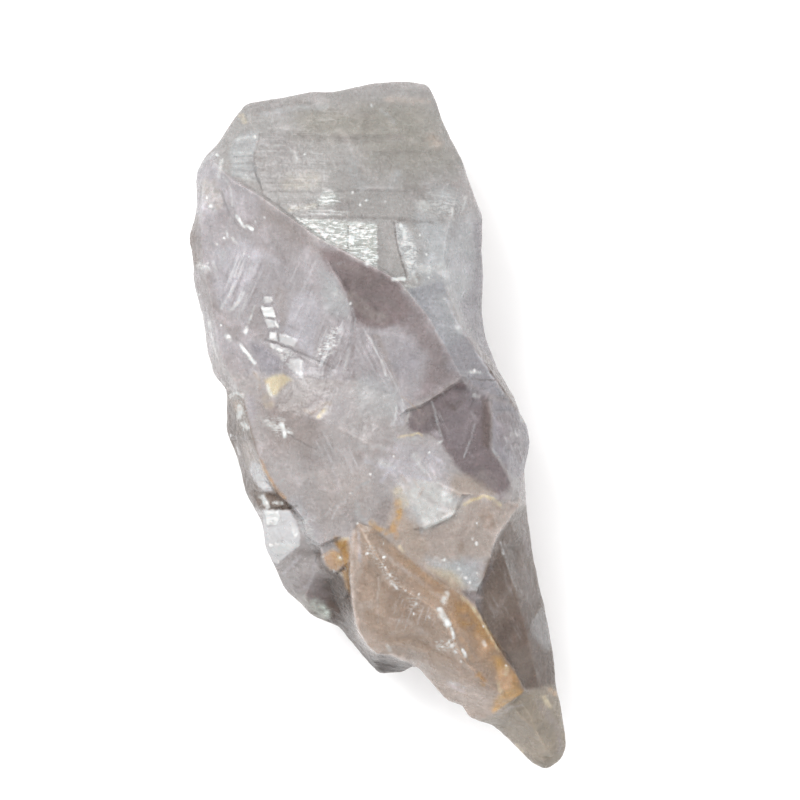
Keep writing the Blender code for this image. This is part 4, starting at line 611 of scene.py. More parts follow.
    (MILKY, 0.5, 0.14, [(27.4, -34), (28.8, -31.8)]),
    (CREAM, 0.75, 0.4, [(29.2, -47.6), (30.2, -49.2)]),
    (PEACH, 0.5, 0.4, [(30.2, -46.2), (31.2, -47)]),
    (CREAM, 0.45, 0.35, [(24.4, -56.2), (25.4, -57.2)]),
    (MILKY, 0.45, 0.25, [(32.4, -49.4), (33, -53.4)]),
    (BROWN_GREY, 0.5, 0.6, [(28.2, -48.4), (31.6, -53), (32, -57)]),
    (PALE_MAUVE, 0.4, 0.16, [(21, -50.6), (23.4, -49.2), (25.6, -48.8)]),
]

# Small painted glints: (x, y) and half the width.
PAINTED_GLINT_SPOTS = [
    (-21.3, 50.4, 0.3), (-0.9, 55.9, 0.18), (-28, 47.3, 0.25), (-12.6, 47.4, 0.2), (-29.1, 38.4, 0.45),
    (-29.8, 39.9, 0.25), (-21.2, 35.5, 0.18), (-19.6, 36.3, 0.18), (-26.7, 32.8, 0.2), (-28.1, 31.7, 0.2),
    (-1.9, 39.2, 0.2), (1.3, 39.1, 0.18), (-3, 38.5, 0.2), (-4.4, 40.6, 0.15), (-4.5, 32.5, 0.6), (-2, 30.3, 0.45),
    (-1.6, 28.5, 0.5), (-8.6, 34.2, 0.35), (-3.4, 34, 0.3), (-6.9, 33, 0.3), (-9.6, 33.4, 0.3), (7.4, 33.2, 0.2),
    (8.6, 29.9, 0.2), (9, 25.9, 0.25), (16.4, 16.8, 0.25), (11.6, 22, 0.15), (-31.2, 22.9, 0.25), (-31, 28.2, 0.2),
    (-30.2, 27.8, 0.2), (-29.6, 28.4, 0.15), (-27.3, 17.6, 0.18), (-26, 15.6, 0.3), (-28.8, 10.4, 0.15),
    (-4.75, 21.3, 0.18), (-6.9, 17.1, 0.2), (-7.6, 16.2, 0.2), (-8.6, 13.8, 0.2), (-13.2, 11.2, 0.22),
    (-14, 9.4, 0.25), (-13.2, 9, 0.2), (-22.4, 29.6, 0.15), (16.9, 9.7, 0.22), (8.9, -4.7, 0.2), (2.9, -5.2, 0.18),
    (-1.2, -8.3, 0.2), (-4.6, -11.6, 0.15), (17.3, -20.4, 0.25), (16.7, -19.8, 0.18), (14.2, -24.8, 0.25),
    (15.4, -26.4, 0.3), (16.2, -27.1, 0.22), (17.4, -25.5, 0.18), (17.3, -16.8, 0.18), (11.6, -23.2, 0.2),
    (-1.8, -22.2, 0.28), (1.1, -22.7, 0.25), (1.4, -24.5, 0.16), (2.2, -25.9, 0.16), (1, -20.4, 0.16),
    (3.1, -27.9, 0.22), (6.7, -30.9, 0.2), (7.2, -29.2, 0.25), (6.3, -32.6, 0.2), (4.8, -28.6, 0.16),
    (9, -33.4, 0.16), (13, -38.2, 0.4), (12.4, -37.6, 0.25), (13.6, -39.3, 0.25), (11.4, -38.4, 0.22),
    (10.4, -38.5, 0.16), (13.2, -36.9, 0.2), (14.6, -41, 0.18), (15.1, -45.6, 0.2), (18.5, -34.8, 0.18),
    (13.3, -48.2, 0.16), (22.4, -41.8, 0.2), (-9.4, -22.8, 0.18), (-6.5, -22.9, 0.18), (-7.5, -25.3, 0.16),
    (-3.6, -16.8, 0.2), (-25.7, -1.7, 0.25), (-24.8, 5.8, 0.22), (-25.6, 5, 0.18), (-23.4, -0.6, 0.22),
    (-20.6, -7.4, 0.25), (-19.8, -9.8, 0.25), (-14.6, -18.4, 0.4), (-14, -20.8, 0.35), (-17.4, -23.6, 0.3),
    (-18.6, -20.8, 0.4), (21.8, -22.2, 0.16), (30.9, -14.6, 0.15),
]

# Flat plates that stand a little proud and face the light, made bright with a painted highlight: height, brightness
# of the painted highlight, softness, and corners.
PLATES = [
    (0.2, 0.55, 0.12, [(-19.8, 22.6), (-18.4, 22.5), (-18.1, 21.8), (-19.5, 21.3)]),
    (0.3, 1, 0.12, [(-20.3, 20.9), (-18.3, 20.6), (-17.8, 18.9), (-19.7, 19)]),
    (0.22, 0.55, 0.15, [(-19.6, 18.7), (-17.7, 18.4), (-17.3, 17.1), (-19.1, 17.1)]),
    (0.25, 0.9, 0.1, [(-17.9, 18.1), (-17.4, 18), (-17.1, 17.2), (-17.6, 17.2)]),
    (0.22, 0.7, 0.12, [(-18.7, 16.3), (-17.5, 16.3), (-17.4, 14.8), (-18.9, 15.2)]),
    (0.2, 0.5, 0.14, [(-17, 16), (-16, 16), (-13.8, 14.9), (-14.6, 13.8), (-17, 14.7)]),
    (0.15, 0.45, 0.25, [(-15.6, 11.6), (-13.6, 11.8), (-12.9, 10.6), (-13.4, 8.4), (-15.2, 10)]),
    (0.12, 1, 0.15, [(-19.8, -14.7), (-17.3, -14.8), (-17, -16.2), (-17.7, -17.2), (-19.4, -17.3)]),
    (0.1, 0.8, 0.15, [(-15.2, -16.6), (-14.3, -17), (-13.7, -18.6), (-14.4, -19.6), (-15, -18.4)]),
    (0.1, 0.8, 0.15, [(-17.8, -20.2), (-15.2, -20.4), (-13.8, -20.6), (-15.2, -21.8), (-17.4, -22.6),
                      (-18.6, -21.6)]),
    (0.05, 0.42, 0.15, FLANK_MIRROR),
    (0.1, 0.6, 0.15, [(-21.7, -8.6), (-20.4, -8.2), (-18.8, -10.8), (-20.2, -10.9)]),
    (0.1, 0.7, 0.12, [(2.6, 25.8), (4.7, 25.75), (4.7, 25.25), (2.7, 25.2)]),
]

# Where small steps in the surface flash in the key light, with painted glints: how many, how softly it ends, and the
# corners.
GLITTER_FACES = [
    (1, 0.4, GLITTER_ZONE),
    (0.75, 0.6, BRIGHT_LEDGE),
    (0.75, 0.5, NOTCH_RIGHT),
    (0.5, 0.4, [(-15.4, 37.4), (-15, 38.2), (-10.6, 38.4), (-11, 37.8)]),
    (0.7, 0.5, [(-11.2, 12), (-8.4, 17.2), (-6.2, 17), (-6.8, 14), (-9.2, 11)]),
    (0.6, 0.4, [(-18.6, 14.2), (-15.6, 13.2), (-13, 11), (-13.2, 8.4), (-14.6, 9), (-16.8, 12)]),
    (0.6, 0.5, [(-30.4, 18.6), (-28.8, 18.2), (-27.6, 12), (-28.6, 10.6)]),
    (0.6, 0.4, [(-31.6, 28.6), (-29.4, 28.6), (-29.2, 27), (-31, 27.2)]),
    (0.6, 0.5, [(-26.2, 6), (-23, 6), (-22.4, -1), (-23.4, -1), (-24.4, 1)]),
    (0.6, 0.6, [(-20.4, 1.4), (-16.2, 1.4), (-14.6, -1.6), (-17, -2)]),
    (0.6, 0.4, [(-22.2, -6), (-20.2, -6.4), (-18, -11.4), (-20, -11.6), (-22.4, -8.4)]),
    (0.6, 0.4, [(10, -37.4), (13.6, -37), (14, -39.4), (10.4, -39.2)]),
    (0.5, 0.5, [(-2.6, -20.4), (-1, -20.6), (4.6, -28.2), (3, -28.4)]),
    (0.4, 0.6, [(5.2, -28.6), (8.2, -30), (7.4, -33.4), (5.4, -32.4)]),
    (0.45, 1, [(9, 41), (15.6, 40), (15.4, 35.6), (9, 36.6)]),
    (0.4, 0.8, [(10, -22.6), (12.6, -23), (12.6, -24.2), (10, -23.8)]),
    (0.5, 0.5, [(-14.6, -16.2), (-11, -16), (-11.4, -19.2), (-13, -18.8)]),
]

# Faces with fine streaks that rise to the right, and with ribs that fall to the right: how much, softness, corners.
STREAKED_FACES = [
    (1, 0.5, [(-27.8, 21), (-26, 31.6), (-21.4, 32), (-23.6, 20)]),
    (0.7, 0.5, [(-23.4, 20.4), (-21.4, 31.4), (-18.4, 30.6), (-20.2, 21.6)]),
    (0.9, 0.5, [(-10.6, 10.6), (-9.4, 20.4), (-4.6, 21), (-4.2, 8.6)]),
    (0.5, 1.2, [(-17.4, 22), (-15, 30), (-9.8, 30), (-11, 21.6)]),
    (0.5, 0.8, [(-31.6, 30), (-31.2, 42), (-28.2, 42), (-28.4, 28.6)]),
    (0.5, 0.8, [(-15.8, 17), (-14.2, 23), (-10, 20.8), (-11.6, 12.6)]),
    (0.6, 0.6, [(-8.6, -17), (-9.4, -14), (-4.4, -12.4), (-4, -16.4)]),
    (0.5, 0.8, [(1, -33.8), (2.4, -27), (9.6, -31.6), (10.2, -36.8), (5, -36.2)]),
]
RIBBED_FACES = [
    (0.8, 0.6, [(-3.6, 14), (-2.4, 17), (2.8, 9.4), (3.4, 4.6), (-1.6, 8.6)]),
    (0.7, 0.5, [(2.6, 8.2), (5.6, 3.4), (5.6, 0.4), (2.6, 0.2)]),
    (0.6, 0.6, [(8.6, 4.4), (11.6, 6.4), (13, -2.8), (9.6, -1.8)]),
    (0.6, 0.8, [(20.2, 4.4), (26.2, 1.2), (26.4, -7.6), (20.4, -3.6)]),
    (0.25, 1, [(19.6, -21), (24.2, -15.6), (27, -36), (22.4, -38.6), (18.4, -31)]),
    (0.5, 0.8, [(-11.6, -3.6), (-9, -1), (-2, -6), (-4.4, -8.6)]),
]

# Ridges (above zero) and grooves (below zero) in the surface: height, half the width, and the line.
CREASES = [
    (-0.05, 0.22, [(-20, 41.1), (-9, 40.8), (-2, 41.1), (5, 40.9)]),
    (-0.05, 0.28, [(-13.4, 36.3), (-4, 36.3), (3, 36), (9.6, 35.4)]),
    (-0.05, 0.6, [(-18, 51.4), (-10, 50.4), (4, 50.2)]),
    (-0.15, 0.2, [(2.9, 35.4), (3.3, 32.6), (3.9, 29.8), (4.7, 27.4), (5.1, 26)]),
    (-0.08, 0.16, [(-5, 35.2), (-5.1, 30.8)]),
    (-0.09, 0.18, [(14.6, 8.5), (17.6, 8.1), (20.8, 8)]),
    (-0.2, 0.25, [(-20.2, -14.2), (-17.6, -14.4), (-15.2, -14.2)]),
    (-0.15, 0.2, [(-21.4, -11.4), (-19.2, -11.7), (-17.4, -12.4)]),
    (-0.15, 0.22, [(-19.4, 15), (-17.4, 14.3), (-15.4, 13.5), (-13.4, 12.6), (-11.6, 11.9), (-9.4, 10.9)]),
    (0.09, 0.22, [(-24.7, 25.3), (-25.9, 22.8), (-27.1, 20.7)]),
    (0.07, 0.22, [(-22.9, 31), (-23.9, 28.6), (-24.9, 26)]),
    (-0.07, 0.3, [(-25.6, 24.8), (-27.6, 21.4)]),
    (-0.07, 0.3, [(-23.6, 26.4), (-25.2, 22.6)]),
    (0.1, 0.25, [(-24.2, 14.4), (-22.6, 12.5), (-21.2, 10.8)]),
    (0.13, 0.3, [(-1.5, 15.6), (-0.2, 13), (0.7, 11.4), (1.5, 8.9)]),
    (0.1, 0.25, [(9.5, 4.2), (10.1, 2), (10.6, 0), (11.4, -2.4)]),
    (0.08, 0.2, [(17, 0.4), (16.2, -2.4), (15, -5.4)]),
    (-0.08, 0.16, [(-15, -1.6), (-13.4, -2.8), (-11.6, -3.6)]),
    (0.13, 0.5, [(8.2, -17.4), (9.6, -16.8), (11.2, -16.1), (12.4, -15.4), (13.4, -14.6)]),
    (0.08, 0.3, [(-1.6, -22.8), (-0.4, -24.2), (0.5, -25.5)]),
    (-0.09, 0.3, [(0.2, -26.2), (0, -29.6), (0.1, -34.2)]),
    (-0.05, 0.22, [(-3.4, -27.2), (-1.8, -27.6), (-0.4, -27.2)]),
    (-0.05, 0.22, [(-3.4, -28.2), (-1.8, -28.6), (-0.4, -28.2)]),
    (-0.05, 0.22, [(-3.3, -29.2), (-1.8, -29.5), (-0.4, -29.2)]),
    (-0.1, 0.4, [(3.6, -37.2), (6.2, -36.8), (8.8, -38.2), (11.6, -39.8), (14, -41)]),
    (0.11, 0.6, [(10.9, -31.6), (11.7, -33.4), (12.8, -35.6), (13.4, -38), (15.2, -40.2)]),
    (0.1, 0.35, [(-4.2, -18.4), (-4.4, -24), (-4, -32), (-3, -35.8), (-1, -38.4)]),
    (0.08, 0.25, [(21.3, -20), (21.9, -22), (22.8, -24.4), (23.7, -27.2)]),
    (0.08, 0.3, [(-16.4, -25.8), (-14.8, -24.2), (-13.6, -22.8)]),
    (-0.06, 0.14, [(-20.5, 51), (-21, 49), (-21.5, 46.2), (-21.1, 43.6), (-20.2, 41.2)]),
    (-0.05, 0.16, [(-25, 47), (-21.8, 47)]),
    (-0.05, 0.16, [(-25.2, 45.8), (-21.9, 45.8)]),
    (-0.05, 0.16, [(-25.2, 44.7), (-21.5, 44.4)]),
    (-0.05, 0.16, [(-24.6, 43.4), (-21.2, 43.1)]),
]


def cloud(places, width, shift=0.0):
    """Smooth noise of about -0.7 to 0.7 at each place, with lumps about as wide as width."""
    return np.array([noise.noise(Vector(place)) for place in places / width + shift])


def bowls(places, width, shift=0.0):
    """Shallow bowls of uneven depth that meet in sharp rims: 0 at each bowl's middle and about 1 at its rim."""
    near = np.array([noise.voronoi(Vector(place))[0][0] for place in places / width + shift])
    return near * near


def smooth_step(value):
    value = np.clip(value, 0, 1)
    return value * value * (3 - 2 * value)


def inside(x, y, corners):
    """Whether each (x, y) lies in the polygon."""
    found = np.zeros(x.shape, bool)
    for (ax, ay), (bx, by) in zip(corners, corners[1:] + corners[:1]):
        if ay == by:
            continue
        crosses = (ay > y) != (by > y)
        found ^= crosses & (x < (bx - ax) * (y - ay) / (by - ay) + ax)
    return found


def distance_to_line(x, y, line):
    """The distance from each (x, y) to the nearest stretch of the line."""
    nearest = np.full(x.shape, np.inf)
    for start, end in zip(line, line[1:]):
        dx, dy = end[0] - start[0], end[1] - start[1]
        share = np.clip(((x - start[0]) * dx + (y - start[1]) * dy) / (dx * dx + dy * dy), 0, 1)
        nearest = np.minimum(nearest, np.hypot(x - start[0] - share * dx, y - start[1] - share * dy))
    return nearest


def close_by(x, y, points, margin):
    """The numbers of the places in the points' bounding box, widened by margin."""
    low, high = np.min(points, axis=0) - margin, np.max(points, axis=0) + margin
    return np.flatnonzero((x > low[0]) & (x < high[0]) & (y > low[1]) & (y < high[1]))


def within(x, y, corners, softness):
    """1 well inside the polygon and 0 outside it, with a soft border that reaches softness to either side."""
    share = np.zeros(x.shape)
    near = close_by(x, y, corners, softness)
    away = distance_to_line(x[near], y[near], corners + corners[:1])
    away = np.where(inside(x[near], y[near], corners), away, -away)
    share[near] = smooth_step(0.5 + away / (2 * softness))
    return share


def beside(x, y, line, half_width):
    """1 along the line, and 0 farther from it than one and a half times half_width."""
    share = np.zeros(x.shape)
    near = close_by(x, y, line, 1.5 * half_width)
    share[near] = smooth_step(1.5 - distance_to_line(x[near], y[near], line) / half_width)
    return share


def around(x, y, spot):
    """1 at the spot's middle, and 0 outside it."""
    return smooth_step(1.5 - np.hypot(x - spot[0], y - spot[1]) / spot[2])


def turns_under(edge):
    """Whether the edge joins a face that looks up to one that looks down."""
    heights = [face.normal.z for face in edge.link_faces]
    return min(heights) < 0 < max(heights)


def soften(edit):
    """Marks how sharp each edge stays: fully where its faces meet at an angle, less beside the outline."""
    crease = edit.edges.layers.float.new("crease_edge")
    rim = {vert.index for edge in edit.edges if turns_under(edge) for vert in edge.verts}
    for edge in edit.edges:
        share = min(1.0, edge.calc_face_angle(0.0) / CREASE_ANGLE) ** 3
        if turns_under(edge):
            share = RIM_CREASE
        elif edge.verts[0].index in rim or edge.verts[1].index in rim:
            share *= BESIDE_RIM
        edge[crease] = share


def near_marks(x, y):
    """Whether each place lies near a mark, a plate or a glittering patch."""
    found = np.zeros(x.shape, bool)
    lines = [line for *_, line in MARKS] + [line for *_, line in CREASES]
    lines += [corners + corners[:1] for *_, corners in PLATES]
    for line in lines:
        near = close_by(x, y, line, MARK_MARGIN)
        found[near] |= distance_to_line(x[near], y[near], line) < MARK_MARGIN
    for spot in PAINTED_GLINT_SPOTS:
        found |= np.hypot(x - spot[0], y - spot[1]) < MARK_MARGIN
    for _, _, corners in GLITTER_FACES:
        found |= inside(x, y, corners)
    return found


def divide(edit, chosen):
    """Divides each chosen face into four."""
    for face, choice in zip(edit.faces, chosen):
        face.tag = bool(choice)
    edges = [edge for edge in edit.edges if any(face.tag for face in edge.link_faces)]
    bmesh.ops.subdivide_edges(edit, edges=edges, cuts=1, use_grid_fill=True)
    edit.faces.ensure_lookup_table()


def face_places(edit):
    """Each face's middle in millimetres, and how far it looks up."""
    middles = np.array([face.calc_center_median() for face in edit.faces]) / MM
    return middles[:, 0], middles[:, 1], np.array([face.normal.z for face in edit.faces])


def smoothed_copy(node):
    """The node's mesh with smooth faces between its sharp edges, and finer where there is more to see."""
    mesh = node.data.copy()
    edit = bmesh.new()
    edit.from_mesh(mesh)
    bmesh.ops.remove_doubles(edit, verts=edit.verts, dist=0.002 * MM)
    edit.normal_update()
    soften(edit)
    edit.to_mesh(mesh)
    edit.free()
    stone = bpy.data.objects.new("rough_quartz", mesh)
    bpy.context.scene.collection.objects.link(stone)
    subdivision = stone.modifiers.new("fine", "SUBSURF")
    subdivision.levels = subdivision.render_levels = 1
    fine = bpy.data.meshes.new_from_object(stone.evaluated_get(bpy.context.evaluated_depsgraph_get()))
    stone.modifiers.clear()
    edit = bmesh.new()
    edit.from_mesh(fine)
    _, _, up = face_places(edit)
    divide(edit, up > -0.2)
    x, y, up = face_places(edit)
    divide(edit, (up > -0.1) & near_marks(x, y))
    edit.to_mesh(fine)
    edit.free()
    stone.data = fine
    return stone


def read_places(mesh):
    places = np.empty(len(mesh.vertices) * 3)
    mesh.vertices.foreach_get("co", places)
    normals = np.empty(len(mesh.vertices) * 3)
    mesh.vertices.foreach_get("normal", normals)
    return places.reshape(-1, 3) / MM, normals.reshape(-1, 3)


def growth_lines(places, width, shift=0.0):
    """Noise in long lines across the stone."""
    bent = places[:, 1] + 0.6 * cloud(places * (1, 0.2, 0), 9.0)
    lines = np.column_stack([places[:, 0] * 0.06, bent, np.zeros(len(places))])
    return cloud(lines, width, shift)


def fine_relief(places, normals):
    """How far each point moves out along its normal, in millimetres."""
    x, y, z = places.T
    upper = smooth_step(normals[:, 2] / 0.3)
    prism = within(x, y, PRISM_FACE, 1.0) * upper
    band = within(x, y, CREASE_BAND, 0.6) * upper
    rough = 1.0 - SMOOTHER_FACES * np.maximum(prism, band)
    broken = rough * (0.75 + 0.7 * cloud(places, 11.0, 5.0))
    move = BOWL_DEPTH * broken * (bowls(places, BOWL_WIDTH) - BOWL_LEVEL)
    move += CHIP_DEPTH * broken * (bowls(places * (1.0, 0.7, 1.0), CHIP_WIDTH, 4.0) - BOWL_LEVEL)
    move += GRAIN_DEPTH * rough * cloud(places, GRAIN_WIDTH, 9.0)
    move += prism * GROWTH_DEPTH * growth_lines(places, GROWTH_WIDTH)
    move += band * BAND_GROWTH_DEPTH * growth_lines(places, BAND_GROWTH_WIDTH, 5.0)
    wobble_x, wobble_y = x + 0.2 * cloud(places, 1.4, 2.0), y + 0.2 * cloud(places, 1.4, 7.0)
    for height, half_width, line in CREASES:
        move += height * upper * beside(wobble_x, wobble_y, line, half_width)
    for height, _, softness, corners in PLATES:
        move += height * upper * within(wobble_x, wobble_y, corners, softness)
    return move * smooth_step(z / FLAT_BELOW)


def base_share(places, normals):
    """Where the under side's flat striated face is."""
    return within(places[:, 0], places[:, 1], BASE_FACE, 0.8) * smooth_step(-normals[:, 2] / 0.4)


def add_values(mesh, name, values):
    mesh.attributes.new(name, "FLOAT", "POINT").data.foreach_set("value", values.astype(np.float32))


def neighbour_mean(mesh, values):
    """The average of each point's neighbours."""
    ends = np.empty(len(mesh.edges) * 2, np.int64)
    mesh.edges.foreach_get("vertices", ends)
    first, second = ends.reshape(-1, 2).T
    count = np.bincount(ends, minlength=len(values))
    total = np.bincount(first, values[second], len(values)) + np.bincount(second, values[first], len(values))
    return total / count


def hollowness(mesh, places, normals):
    """How deep each point lies below its neighbours: above zero in a hollow, below zero on an edge."""
    around_it = np.column_stack([neighbour_mean(mesh, places[:, axis]) for axis in range(3)])
    depth = np.einsum("ij,ij->i", around_it - places, normals)
    return neighbour_mean(mesh, depth) + depth


def lay_washes(places, upper, colours):
    """The zones' washes of colour, some of them painted shade, painted sheen and painted reflections, with borders
    that wander, and the pale stains of the hidden side.
    """
    coarse_x, coarse_y = cloud(places, 4.0), cloud(places, 4.0, 11.0)
    fine_x, fine_y = cloud(places, 1.2, 3.0), cloud(places, 1.2, 15.0)
    for colour, strength, softness, corners in WASHES:
        wander = min(softness, WANDER)
        x = places[:, 0] + wander * (coarse_x + 0.4 * fine_x)
        y = places[:, 1] + wander * (coarse_y + 0.4 * fine_y)
        share = (strength * upper * within(x, y, corners, softness))[:, None]
        colours += (colour - colours) * share
    mottle = 1 + 0.10 * cloud(places, 7.0, 6.0) + 0.10 * cloud(places, 2.6, 8.0) + 0.07 * cloud(places, 1.0, 1.0)
    colours *= mottle[:, None]
    stain = smooth_step((cloud(places, 12.0, 21.0) + 0.4 * cloud(places, 3.0, 17.0) - 0.25) / 0.3) * (1 - upper)
    colours += (BEIGE - colours) * STAIN * stain[:, None]


def shade(normals, hollow, upper, colours):
    """Painted light and shade: lighter edges as a painted highlight, partly their pale chips, painted shade in
    hollows, and painted shade on steep faces of the upper side.
    """
    colours *= (1 + EDGE_LIGHT * smooth_step(-hollow / 0.12))[:, None]
    colours *= (1 - HOLLOW_SHADE * smooth_step(hollow / 0.10))[:, None]
    colours *= (1 - STEEP_SHADE * smooth_step((0.95 - normals[:, 2]) / 0.9) * upper)[:, None]


def draw_marks(places, upper, colours):
    """The narrow marks, broken up along their length."""
    x = places[:, 0] + 0.15 * cloud(places, 1.2, 3.0)
    y = places[:, 1] + 0.15 * cloud(places, 1.2, 15.0)
    broken = 0.75 + 0.9 * cloud(places, 0.9, 13.0)
    for colour, strength, half_width, line in MARKS:
        share = (strength * broken * upper * beside(x, y, line, half_width))[:, None]
        colours += (colour - colours) * np.clip(share, 0, 1)


def stone_colours(places, normals, hollow):
    """The colour at each point, with its painted light and shade."""
    upper = smooth_step(1 + normals[:, 2] / 0.35)
    colours = np.tile(CLOUDY, (len(places), 1))
    lay_washes(places, upper, colours)
    shade(normals, hollow, upper, colours)
    draw_marks(places, upper, colours)
    return np.clip(colours, DARKEST, LIGHTEST)


def face_share(places, normals, faces):
    """How much each point belongs to the listed faces of the upper side."""
    upper = smooth_step(0.5 + normals[:, 2] / 0.5)
    x = places[:, 0] + 0.3 * cloud(places, 1.5)
    y = places[:, 1] + 0.3 * cloud(places, 1.5, 11.0)
    share = np.zeros(len(places))
    for strength, softness, corners in faces:
        share = np.maximum(share, strength * within(x, y, corners, softness))
    return share * upper


def painted_glint_share(places, normals):
    """Where a plate, a bright mark or a spark faces the light; there the colour is later painted white as a painted
    glint.
    """
    upper = smooth_step(0.5 + normals[:, 2] / 0.5)
    x, y = places[:, 0] + 0.25 * cloud(places, 0.8, 3.0), places[:, 1] + 0.25 * cloud(places, 0.8, 15.0)
    broken = 0.7 + 0.9 * cloud(places, 0.9, 13.0)
    share = np.zeros(len(places))
    for _, brightness, softness, corners in PLATES:
        share = np.maximum(share, brightness * within(x, y, corners, softness))
    for colour, strength, half_width, line in MARKS:
        if colour is WHITE and strength >= 0.8:
            share = np.maximum(share, strength * broken * beside(x, y, line, half_width))
    for spot in PAINTED_GLINT_SPOTS:
        share = np.maximum(share, around(x, y, spot))
    return np.clip(share, 0, 1) * upper


class Nodes:
    """Adds nodes to a material. Each kind of node has a function that gives its result, and add gives the node."""

    def __init__(self, material):
        self.tree = material.node_tree

    def add(self, kind, inputs, **settings):
        node = self.tree.nodes.new("ShaderNode" + kind)
        for name, value in settings.items():
            setattr(node, name, value)
        for name, value in inputs.items():
            if isinstance(value, bpy.types.NodeSocket):
                self.tree.links.new(value, node.inputs[name])
            else:
                node.inputs[name].default_value = value
        return node

    def stored(self, name, output="Fac"):
        return self.add("Attribute", {}, attribute_name=name).outputs[output]

    def vector(self, operation, first, second=(0, 0, 0)):
        return self.add("VectorMath", {0: first, 1: second}, operation=operation).outputs[0]

    def noise(self, place, scale, detail=4.0, rough=0.55, bend=0.0):
        inputs = {"Vector": place, "Scale": scale, "Detail": detail, "Roughness": rough, "Distortion": bend}
        return self.add("TexNoise", inputs).outputs["Fac"]

    def span(self, value, low, high, to_low=0.0, to_high=1.0):
        inputs = {"Value": value, "From Min": low, "From Max": high, "To Min": to_low, "To Max": to_high}
        return self.add("MapRange", inputs, interpolation_type="SMOOTHSTEP").outputs[0]

    def maths(self, operation, first, second=0.0):
        return self.add("Math", {0: first, 1: second}, operation=operation).outputs[0]

    def product(self, *values):
        found = values[0]
        for value in values[1:]:
            found = self.maths("MULTIPLY", found, value)
        return found

    def mix(self, share, first, second, blend="MIX"):
        node = self.add("Mix", {0: share, 6: first, 7: second}, data_type="RGBA", blend_type=blend)
        return node.outputs[2]

    def bump(self, height, depth, before=None):
        inputs = {"Height": height, "Distance": depth * MM}
        if before is not None:
            inputs["Normal"] = before
        return self.add("Bump", inputs).outputs[0]

    def ridge(self, value, width):
        """1 where the noise is near its middle value: thin winding lines."""
        off = self.maths("ABSOLUTE", self.maths("SUBTRACT", value, 0.5))
        return self.span(off, width, 0.0)

    def streaks(self, place, turn):
        """Noise in long lines that lean from the vertical by turn."""
        turned = self.add("VectorRotate", {"Vector": place, "Angle": turn}, rotation_type="Z_AXIS").outputs[0]
        return self.noise(self.vector("MULTIPLY", turned, (2.3, 0.10, 0.5)), 1.0, 3.0, 0.6)


def add_veils(nodes, place, colour):
    """Veils, smoke, fine bright wisps, and grain that hang in the stone."""
    veils = nodes.span(nodes.noise(place, 0.20, 7.0, 0.62, 1.2), 0.50, 0.72)
    lighter = nodes.mix(1.0, colour, LIGHTER_BY, "MULTIPLY")
    colour = nodes.mix(nodes.maths("MULTIPLY", veils, 0.38), colour, lighter)
    smoke = nodes.span(nodes.noise(place, 0.15, 5.0, 0.6, 0.8), 0.52, 0.72)
    darker = nodes.mix(1.0, colour, DARKER_BY, "MULTIPLY")
    colour = nodes.mix(nodes.maths("MULTIPLY", smoke, 0.30), colour, darker)
    where = nodes.span(nodes.noise(place, 0.23, 3.0, 0.5), 0.46, 0.62)
    wisps = nodes.ridge(nodes.noise(place, 0.42, 3.0, 0.45, 1.6), 0.022)
    colour = nodes.mix(nodes.product(wisps, where, 0.48), colour, lighter)
    grain = nodes.span(nodes.noise(place, 1.6, 6.0, 0.68), 0.3, 0.7, 0.92, 1.08)
    grain = nodes.add("CombineXYZ", {0: grain, 1: grain, 2: grain}).outputs[0]
    return nodes.mix(1.0, colour, grain, "MULTIPLY")


def add_streaks(nodes, place, colour):
    """The colour with streaks and ribs on the broken faces, and their height for the surface."""
    heights = []
    for turn, name in ((STREAK_TURN, "streaks"), (RIB_TURN, "ribs")):
        lines, share = nodes.streaks(place, turn), nodes.stored(name)
        pale = nodes.product(nodes.span(lines, 0.54, 0.68), share, 0.70)
        colour = nodes.mix(pale, colour, PALE_STREAK)
        dark = nodes.product(nodes.span(lines, 0.46, 0.32), share, 0.45)
        colour = nodes.mix(dark, colour, DARK_STREAK)
        heights.append(nodes.maths("MULTIPLY", lines, share))
    return colour, nodes.maths("ADD", *heights)


def add_growth_lines(nodes, place, colour, share):
    """The colour with growth lines across the prism face, and their height for the surface."""
    lines = nodes.noise(nodes.vector("MULTIPLY", place, (0.10, 2.0, 0.4)), 1.0, 4.0, 0.62, 0.1)
    dark = nodes.product(nodes.span(lines, 0.55, 0.72), share, 0.14)
    colour = nodes.mix(dark, colour, DARK_GROWTH)
    pale = nodes.product(nodes.span(lines, 0.44, 0.30), share, 0.15)
    colour = nodes.mix(pale, colour, PALE_GROWTH)
    return colour, nodes.maths("MULTIPLY", lines, share)


def flashing(nodes, place, glitter, flash):
    """Where small steps and plates flash: the mask for the painted glints, and for normals that face the light and
    lower roughness.
    """
    specks = nodes.noise(nodes.vector("MULTIPLY", place, (0.45, 1.7, 1.0)), 1.9, 4.0, 0.75)
    return nodes.maths("MAXIMUM", nodes.product(glitter, nodes.span(specks, 0.50, 0.56)), flash)


def surface_normal(nodes, place, streaked, grown, bright):
    """Low bumps, and small steps whose normals lean towards the point between the camera and the key light."""
    normal = nodes.bump(nodes.noise(place, 0.7, 4.0, 0.55), 0.16)
    normal = nodes.bump(streaked, 0.12, normal)
    normal = nodes.bump(grown, 0.11, normal)
    cells = nodes.add("TexVoronoi", {"Vector": nodes.vector("MULTIPLY", place, (0.6, 2.4, 1.2)), "Scale": 1.0})
    tilt = nodes.vector("SUBTRACT", cells.outputs["Color"], (0.5, 0.5, 0.5))
    facing = nodes.vector("ADD", nodes.vector("MULTIPLY", tilt, (0.30, 0.30, 0.2)), TO_THE_LIGHT)
    normal = nodes.add("Mix", {0: bright, 4: normal, 5: facing}, data_type="VECTOR").outputs[1]
    return nodes.vector("NORMALIZE", normal)


